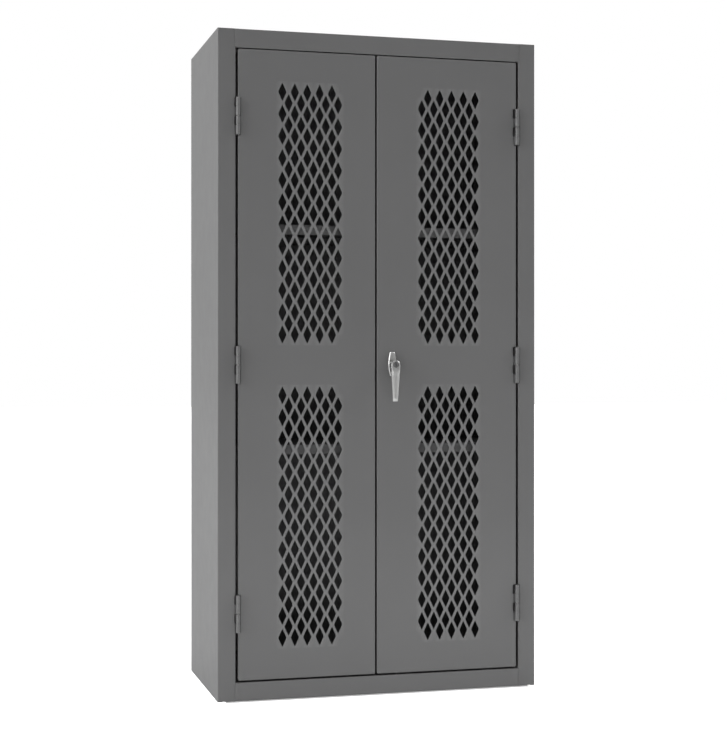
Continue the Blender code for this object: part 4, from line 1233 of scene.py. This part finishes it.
class CABINET_OT_hinges(CabinetOperator, bpy.types.Operator):
    """Roll the leaves of the six hinges round their pins"""

    bl_idname = "cabinet.hinges"
    bl_label = "Hinges"

    def build(self, scene):
        hinge = scene.cabinet_hinge
        for name, side in SIDES:
            axis = joint(name + "_door_swing")["pos_m"]
            for level in LEVELS:
                label = f"{name}_{level}"
                self.leaf(label + "_frame_leaf", axis, side > 0, hinge)
                self.leaf(label + "_door_leaf", axis, side < 0, hinge)
                self.pin(label + "_hinge_pin", axis, hinge)

    def leaf(self, node, axis, turned_over, hinge):
        """Two arcs in plan roll a leaf round the front of the pin, and straight lines run it back.

        Every other knuckle is cut away. The second leaf of a hinge is the first turned upside down.
        """
        low, high = box(node)
        half = (high[2] - low[2]) / 2
        middle = np.array((axis[0], axis[1], (high[2] + low[2]) / 2))
        radius, bore = hinge.barrel_radius, hinge.barrel_radius - hinge.leaf_thickness
        reach = high[1] - axis[1]
        roll = math.pi + math.acos((hinge.roll_gap - bore) / radius)
        angles = math.pi + roll * np.linspace(0, 1, BARREL_STEPS + 1)
        unit = np.column_stack((np.cos(angles), np.sin(angles)))
        outer, inner = (
            np.vstack(((-size, reach), (-size, ROLL_START), size * unit)) for size in (radius, bore)
        )
        rings = carried(np.vstack((outer, inner[::-1])), "z", (-half, half))
        pitch = 2 * half / hinge.knuckles
        gaps = np.full(hinge.knuckles + 1, hinge.knuckle_gap)
        gaps[hinge.knuckles // 2], gaps[-1] = hinge.middle_gap, 2 * OVERRUN
        starts = -half + pitch * np.arange(hinge.knuckles) - gaps[:-1] / 2
        ends = -half + pitch * np.arange(1, hinge.knuckles + 1) + gaps[1:] / 2
        far, behind = radius + OVERRUN, radius + hinge.leaf_cutback
        flip = np.array((-1, 1, -1)) if turned_over else np.ones(3)
        cuts = [
            shell(block((-far, -far, start), (far, behind, end)) * flip + middle)
            for start, end in zip(starts[1::2], ends[1::2])
        ]
        piece(node.replace("_leaf", "_hinge_leaf"), [shell(rings * flip + middle)],
              "painted_steel", node, cuts=cuts, edge=hinge.knuckle_round)

    def pin(self, node, axis, hinge):
        """A round pin with domed ends, where the radius falls as a quarter of an ellipse."""
        low, high = box(node)
        radius = hinge.barrel_radius - hinge.leaf_thickness - hinge.pin_clearance
        angles = np.linspace(0.2, math.pi / 2, 6)
        dome = np.column_stack((radius * np.sin(angles), PIN_DOME * np.cos(angles)))
        lower = dome * (1, -1) + (0, low[2] + PIN_DOME)
        upper = dome[::-1] + (0, high[2] - PIN_DOME)
        rings = turned(np.vstack((lower, upper)), "z", (axis[0], axis[1], 0), 32)
        piece(node.replace("_hinge_pin", "_pin"), [shell(rings)], "plated_steel", node)


class CABINET_OT_handle(CabinetOperator, bpy.types.Operator):
    """Cast the lever with its plate and set the lock plug and the spindle"""

    bl_idname = "cabinet.handle"
    bl_label = "Handle"

    def build(self, scene):
        handle, sheet = scene.cabinet_handle, scene.cabinet_sheet
        pivot = np.array(joint("handle_turn")["pos_m"])
        pivot[1] = box("left_side_panel")[0][1]
        self.plate(handle, pivot, spindle_hole(scene))
        self.lever(handle, sheet, pivot)
        self.plug(handle, pivot)
        piece("square_spindle", [brick(*box("spindle"))], "plated_steel", "spindle",
              edge=FITTING_EDGE)

    def plate(self, handle, pivot, hole):
        """Sides on a circle's arc and flat ends, drawn in over the bevel and round a low panel."""
        low, high = box("handle_plate")
        middle = ((low + high) / 2)[2]
        half_height, half_width = (high[2] - low[2]) / 2, (high[0] - low[0]) / 2
        bevel, face = handle.plate_bevel, low[1]
        stations = (
            (0.0, high[1]), (0.0, face + bevel * 1.1), (bevel * 0.12, face + bevel * 0.85),
            (bevel * 0.85, face + bevel * 0.12), (bevel * 1.1, face), (bevel * 1.45, face),
            (bevel * 1.7, face + PLATE_STEP), (bevel * 2.1, face + PLATE_STEP),
        )
        rings = []
        for inset, level in stations:
            tall, bow = half_height - inset, half_width - handle.plate_end_width / 2
            radius = (tall ** 2 + bow ** 2) / (2 * bow)
            sweep = math.asin(tall / radius) * np.linspace(-1, 1, 25)
            across = half_width - inset - radius * (1 - np.cos(sweep))
            bowed = np.column_stack((across, radius * np.sin(sweep)))
            rings.append(at(np.vstack((bowed, -bowed)) + (pivot[0], middle), "y", level))
        cut = drill(*hole, "y", low[1] - OVERRUN, high[1] + OVERRUN)
        piece("handle_escutcheon", [shell(rings)], "cast_handle", "handle_plate",
              cuts=[cut], crease=35.0)

    def lever(self, handle, sheet, pivot):
        """Rings of the casting from the top of its head down to its tip.

        The half width is the wider of the head's circle and of the tapering arm, blended by a high
        power mean. The section has a flat front between two slopes: on the head the flat reaches
        to a narrow chamfer, and down the arm it draws in to a share of the width.
        """
        face = box("lever")[0][1]
        size, radius = handle.arm_length, handle.head_radius
        head_wide, tip_wide = handle.arm_head_width, handle.arm_tip_width
        head_thick, tip_thick = handle.arm_head_thickness, handle.arm_tip_thickness
        crown = radius * np.cos(np.linspace(0.05, math.pi / 2, 20))
        facet_top = handle.tip_facet - size
        arm = np.linspace(0, facet_top, 46)[1:]
        tip = np.linspace(facet_top, -size, 5)[1:]
        z = np.concatenate((crown, arm, tip))
        drop = np.clip(-z / size, 0, 1)
        taper = np.interp(drop, np.linspace(0, 1, len(TAPER)), TAPER)
        head_half = np.sqrt(np.clip(radius ** 2 - z ** 2, 0, None))
        arm_half = (head_wide + (tip_wide - head_wide) * taper) / 2
        arm_half = np.where(z > 0, 0, arm_half)
        half = (head_half ** 12 + arm_half ** 12) ** (1 / 12)
        blend = np.clip((-z - radius) / (1.5 * radius), 0, 1)
        blend = blend * blend * (3 - 2 * blend)
        thickness = head_thick + (tip_thick - head_thick) * taper
        recess = handle.arm_recess * drop ** 1.3
        front = face + blend * recess
        rear = face + (1 - blend) * handle.head_thickness + blend * (recess + thickness)
        facet = np.clip((facet_top - z) / handle.tip_facet, 0, 1)
        front = front + facet * handle.tip_slope
        flat = (1 - blend) * np.clip(half - handle.head_chamfer, half * 0.3, None)
        flat += blend * half * handle.arm_flat
        shoulder = blend * (rear - front) * handle.arm_shoulder
        shoulder += front + (1 - blend) * handle.head_bevel
        back = half * ((1 - blend) * 0.96 + blend * handle.arm_back)
        corners = np.stack((
            np.column_stack((-back, rear)), np.column_stack((back, rear)),
            np.column_stack((half, shoulder)), np.column_stack((flat, front)),
            np.column_stack((-flat, front)), np.column_stack((-half, shoulder)),
        ), axis=1)
        section = rounded_section(corners, handle.corner_round)
        rings = np.empty((len(z), section.shape[1], 3))
        rings[..., 0] = pivot[0] + section[..., 0]
        rings[..., 1] = section[..., 1]
        rings[..., 2] = pivot[2] + z[:, None]
        hub_ends = (box("handle_plate")[0][1] - sheet.seat, face + handle.head_thickness * 0.8)
        hub = [(handle.hub_radius, place - pivot[1]) for place in hub_ends]
        angles = np.linspace(0.1, math.pi / 2, 6)
        nub = np.column_stack((handle.nub_radius * np.sin(angles), -NUB_RISE * np.cos(angles)))
        ahead = face - pivot[1]
        nub = np.vstack((nub + (0, ahead + NUB_BASE), (handle.nub_radius, ahead + NUB_ROOT)))
        lower = pivot - (0, 0, handle.nub_drop)
        bore = drill(
            handle.plug_radius + sheet.seat, (pivot[0], pivot[2]), "y",
            face - OVERRUN, box("lock_plug")[1][1] + sheet.seat,
        )
        piece(
            "cast_lever", [shell(rings)], "cast_handle", "lever", cuts=[bore], crease=30.0,
            joins=[shell(turned(hub, "y", pivot)), shell(turned(nub, "y", lower, 24))],
            edge=CAST_EDGE,
        )

    def plug(self, handle, pivot):
        """A turned barrel: chamfered rim, a fine groove and a flat face with an upright keyway."""
        low, high = box("lock_plug")
        radius, face = handle.plug_radius, low[1] - pivot[1]
        profile = (
            (radius, high[1] - pivot[1]), (radius, face + PLUG_CHAMFER),
            (radius - PLUG_CHAMFER, face), (radius * 0.8, face),
            (radius * 0.77, face + PLUG_GROOVE), (radius * 0.73, face + PLUG_GROOVE),
            (radius * 0.7, face + PLUG_GROOVE / 3),
        )
        keyway = brick(
            pivot + (-handle.keyway_width / 2, face - OVERRUN, -handle.keyway_height / 2),
            pivot + (handle.keyway_width / 2, face + handle.keyway_depth, handle.keyway_height / 2),
        )
        piece("lock_barrel_face", [shell(turned(profile, "y", pivot))], "lock_barrel", "lock_plug",
              cuts=[keyway], crease=30.0)


class CABINET_OT_bolt_work(CabinetOperator, bpy.types.Operator):
    """Make the cam, the two bolt rods and their guides behind the right door"""

    bl_idname = "cabinet.bolt_work"
    bl_label = "Bolt work"

    def build(self, scene):
        inner, handle, sheet = scene.cabinet_inner, scene.cabinet_handle, scene.cabinet_sheet
        pivot = np.array(joint("handle_turn")["pos_m"])
        self.cam(inner, handle, sheet, pivot)
        self.screw(pivot)
        for name, way in (("upper", 1), ("lower", -1)):
            self.rod(name, way, inner)
            for place in ("lock", "tip"):
                self.guide(f"{name}_{place}_rod_guide", inner)

    def cam(self, inner, handle, sheet, pivot):
        """A flat bar with round ends about its two crank pins, which lie across the spindle."""
        low, high = box("cam_plate")
        thickness, near = inner.cam_thickness, low[1]
        arcs, pins = [], []
        for angle in (CAM_TURN, CAM_TURN - math.pi):
            bearing = np.array((math.cos(angle), math.sin(angle)))
            centre = pivot[[0, 2]] + inner.crank_radius * bearing
            sweep = angle + np.linspace(-math.pi / 2, math.pi / 2, 17)
            arcs.append(centre + inner.cam_end * np.column_stack((np.cos(sweep), np.sin(sweep))))
            pins.append(drill(inner.crank_pin, centre, "y", near + thickness / 2, high[1]))
        room = handle.spindle_size / 2 + sheet.seat
        square = brick(
            (pivot[0] - room, near - OVERRUN, pivot[2] - room),
            (pivot[0] + room, near + thickness + OVERRUN, pivot[2] + room),
        )
        piece("crank_cam", [prism(np.vstack(arcs), "y", near, near + thickness)], "plated_steel",
              "cam_plate", joins=pins, cuts=[square], edge=WORK_EDGE)

    def screw(self, pivot):
        """A turned head: its dome is an upper part of an ellipse, with a slot across."""
        low, high = box("cam_screw")
        radius, tall = (high[0] - low[0]) / 2, high[1] - low[1]
        angles = np.linspace(0, math.pi / 2 - 0.1, 7)
        rise = low[1] + tall * (0.35 + 0.65 * np.sin(angles))
        dome = np.column_stack((radius * np.cos(angles), rise))
        head = turned(np.vstack(((radius, low[1]), dome)), "y", (pivot[0], 0, pivot[2]))
        slot = brick(
            (pivot[0] - radius - OVERRUN, high[1] - tall * 0.45, pivot[2] - SCREW_SLOT / 2),
            (pivot[0] + radius + OVERRUN, high[1] + OVERRUN, pivot[2] + SCREW_SLOT / 2),
        )
        piece("cam_screw_head", [shell(head)], "plated_steel", "cam_screw", cuts=[slot])

    def rod(self, name, way, inner):
        """A round bar with a chamfered end, joined to a plate with a slot for its crank pin."""
        low, high = box(name + "_bolt_rod")
        centre = (low + high) / 2
        near, far = (low[2], high[2]) if way > 0 else (high[2], low[2])
        slot_tall = 2 * (inner.crank_pin + inner.yoke_clearance)
        foot = near + way * (slot_tall + inner.yoke_rim + OVERRUN)
        radius = inner.rod_radius
        profile = [
            (radius, foot),
            (radius, far - way * inner.rod_chamfer),
            (radius - inner.rod_chamfer, far),
        ]
        bar = turned(profile, "z", (centre[0], centre[1], 0), 40)
        half = inner.cam_thickness / 2
        rim, past = inner.yoke_rim, half + OVERRUN
        plate = brick(
            (low[0], centre[1] - half, near),
            (high[0], centre[1] + half, near + way * (slot_tall + 2 * rim)),
        )
        slot = brick(
            (low[0] + rim, centre[1] - past, near + way * rim),
            (high[0] - rim, centre[1] + past, near + way * (rim + slot_tall)),
        )
        piece(name + "_rod", [shell(bar)], "plated_steel", name + "_bolt_rod",
              joins=[plate], cuts=[slot], edge=WORK_EDGE)

    def guide(self, node, inner):
        """A strap folded to a hat section, carried over its height."""
        low, high = box(node)
        path = hat(low, high, inner.guide_foot, inner.guide_sheet)
        outline = folded(path, inner.guide_sheet, GUIDE_BEND, 1)
        piece(node.replace("_rod_guide", "_strap"), [prism(outline, "z", low[2], high[2])],
              "plated_steel", node, edge=WORK_EDGE)


class CABINET_OT_studio(CabinetOperator, bpy.types.Operator):
    """Lay the floor, light the studio and set the camera"""

    bl_idname = "cabinet.studio"
    bl_label = "Studio"

    def build(self, scene):
        studio = scene.cabinet_studio
        self.floor(studio)
        self.surround(scene, studio)
        for name, angle, way in SUNS:
            way = Vector(way)
            light = self.light(scene, name, "SUN", getattr(studio, name), -SUN_DISTANCE * way)
            light.data.angle = math.radians(angle)
            light.rotation_euler = way.to_track_quat("-Z", "Y").to_euler()
        self.low_light(scene, studio)
        self.camera(scene, studio)
        scene.view_settings.view_transform = "Standard"

    def floor(self, studio):
        """One flat square, pale where it is seen and dim where it only throws light back up.

        Under the cabinet it is dim in either case, so that none shows through the holes.
        """
        half = studio.floor_size / 2
        mesh = bpy.data.meshes.new("studio_floor")
        corners = [(-half, -half, 0), (half, -half, 0), (half, half, 0), (-half, half, 0)]
        mesh.from_pydata(corners, [], [(0, 1, 2, 3)])
        material = coated(
            "pale_floor", studio.floor_colour, roughness=0.6, metallic=0.0, share=0.004,
            patches=1.0, cells=300.0, depth=0.00001,
        )
        tree = material.node_tree
        place = put(tree, "TexCoord").outputs["Object"]
        sides = put(tree, "SeparateXYZ", {0: place}).outputs
        reach = (CAD_BOX[1][0], box("back_panel")[1][1])
        across, along = (
            sums(tree, "LESS_THAN", sums(tree, "ABSOLUTE", side), far - FOOTPRINT_INSET)
            for side, far in zip(sides, reach)
        )
        under = sums(tree, "MULTIPLY", across, along)
        seen = put(tree, "LightPath").outputs["Is Camera Ray"]
        beyond = put(tree, "Math", {0: seen, 1: under}, operation="SUBTRACT", use_clamp=True)
        shown = beyond.outputs[0]
        shader = tree.nodes["Principled BSDF"]
        pale = shader.inputs["Base Color"].links[0].from_socket
        dim = (studio.bounce, studio.bounce, studio.bounce, 1)
        mix = put(tree, "Mix", data_type="RGBA")
        mix.inputs["A"].default_value = dim
        for source, target in ((pale, "B"), (shown, "Factor")):
            tree.links.new(source, mix.inputs[target])
        tree.links.new(mix.outputs["Result"], shader.inputs["Base Color"])
        shader.inputs["Emission Color"].default_value = WHITE
        tree.links.new(shown, shader.inputs["Emission Strength"])
        mesh.materials.append(material)
        floor = bpy.data.objects.new("studio_floor", mesh)
        bpy.context.scene.collection.objects.link(floor)

    def surround(self, scene, studio):
        """White behind the object, and even light on it, dimmer where flat faces mirror it."""
        scene.world = bpy.data.worlds.new("studio_surround")
        scene.world.use_nodes = True
        tree = scene.world.node_tree
        way = put(tree, "TexCoord").outputs["Generated"]
        ahead = put(tree, "VectorMath", {0: way, 1: MIRRORED_WAY}, operation="DOT_PRODUCT")
        fade = put(tree, "MapRange", {
            "Value": ahead.outputs["Value"], "From Min": DIMMING[0], "From Max": DIMMING[1],
            "To Min": 1.0, "To Max": 1.0 - studio.shade,
        })
        light = tree.nodes["Background"]
        light.inputs["Color"].default_value = WHITE
        strength = sums(tree, "MULTIPLY", fade.outputs["Result"], studio.surround)
        tree.links.new(strength, light.inputs["Strength"])
        white = put(tree, "Background", {"Color": WHITE})
        seen = put(tree, "LightPath").outputs["Is Camera Ray"]
        mix = put(tree, "MixShader", {0: seen, 1: light.outputs[0], 2: white.outputs[0]})
        tree.links.new(mix.outputs[0], tree.nodes["World Output"].inputs["Surface"])

    def light(self, scene, name, kind, strength, place):
        """A new light at a place."""
        data = bpy.data.lights.new(name + "_light", kind)
        data.energy = strength
        light = bpy.data.objects.new(name + "_light", data)
        light.location = place
        scene.collection.objects.link(light)
        return light

    def low_light(self, scene, studio):
        """A long soft light just over the floor, turned to the cabinet's foot and a little up."""
        light = self.light(scene, "low", "AREA", studio.low, LOW_PLACE)
        light.data.shape = "RECTANGLE"
        light.data.size, light.data.size_y = LOW_SIZE
        light.rotation_euler = (LOW_TILT, 0, 0)
        light.visible_camera = False

    def camera(self, scene, studio):
        """A level camera turned towards the cabinet from its left."""
        data = bpy.data.cameras.new("studio_camera")
        data.sensor_fit, data.sensor_width, data.lens = "HORIZONTAL", 36.0, studio.lens
        data.shift_y = studio.rise
        camera = bpy.data.objects.new("studio_camera", data)
        camera.location = studio.eye
        camera.rotation_euler = (math.pi / 2, 0, -studio.heading)
        scene.collection.objects.link(camera)
        scene.camera = camera


OPERATORS = (
    CABINET_OT_carcass,
    CABINET_OT_shelving,
    CABINET_OT_doors,
    CABINET_OT_hinges,
    CABINET_OT_handle,
    CABINET_OT_bolt_work,
    CABINET_OT_studio,
)


class CABINET_PT_sidebar(bpy.types.Panel):
    """Sizes, finishes and the operators that build the cabinet"""

    bl_label = "Ventilated Cabinet"
    bl_idname = "CABINET_PT_sidebar"
    bl_space_type = "VIEW_3D"
    bl_region_type = "UI"
    bl_category = "Cabinet"

    def draw(self, context):
        for operator in OPERATORS:
            self.layout.operator(operator.bl_idname)
        for attribute, group, label in GROUPS:
            area = self.layout.box()
            area.label(text=label)
            for name in group.__annotations__:
                area.prop(getattr(context.scene, attribute), name)


def register():
    for attribute, group, _label in GROUPS:
        bpy.utils.register_class(group)
        setattr(bpy.types.Scene, attribute, PointerProperty(type=group))
    for operator in OPERATORS:
        bpy.utils.register_class(operator)
    bpy.utils.register_class(CABINET_PT_sidebar)


def unregister():
    bpy.utils.unregister_class(CABINET_PT_sidebar)
    for operator in reversed(OPERATORS):
        bpy.utils.unregister_class(operator)
    for attribute, group, _label in reversed(GROUPS):
        delattr(bpy.types.Scene, attribute)
        bpy.utils.unregister_class(group)


def main():
    register()
    bpy.ops.cabinet.carcass()
    bpy.ops.cabinet.shelving()
    bpy.ops.cabinet.doors()
    bpy.ops.cabinet.hinges()
    bpy.ops.cabinet.handle()
    bpy.ops.cabinet.bolt_work()
    bpy.ops.cabinet.studio()
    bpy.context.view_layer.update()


if __name__ == "__main__":
    main()
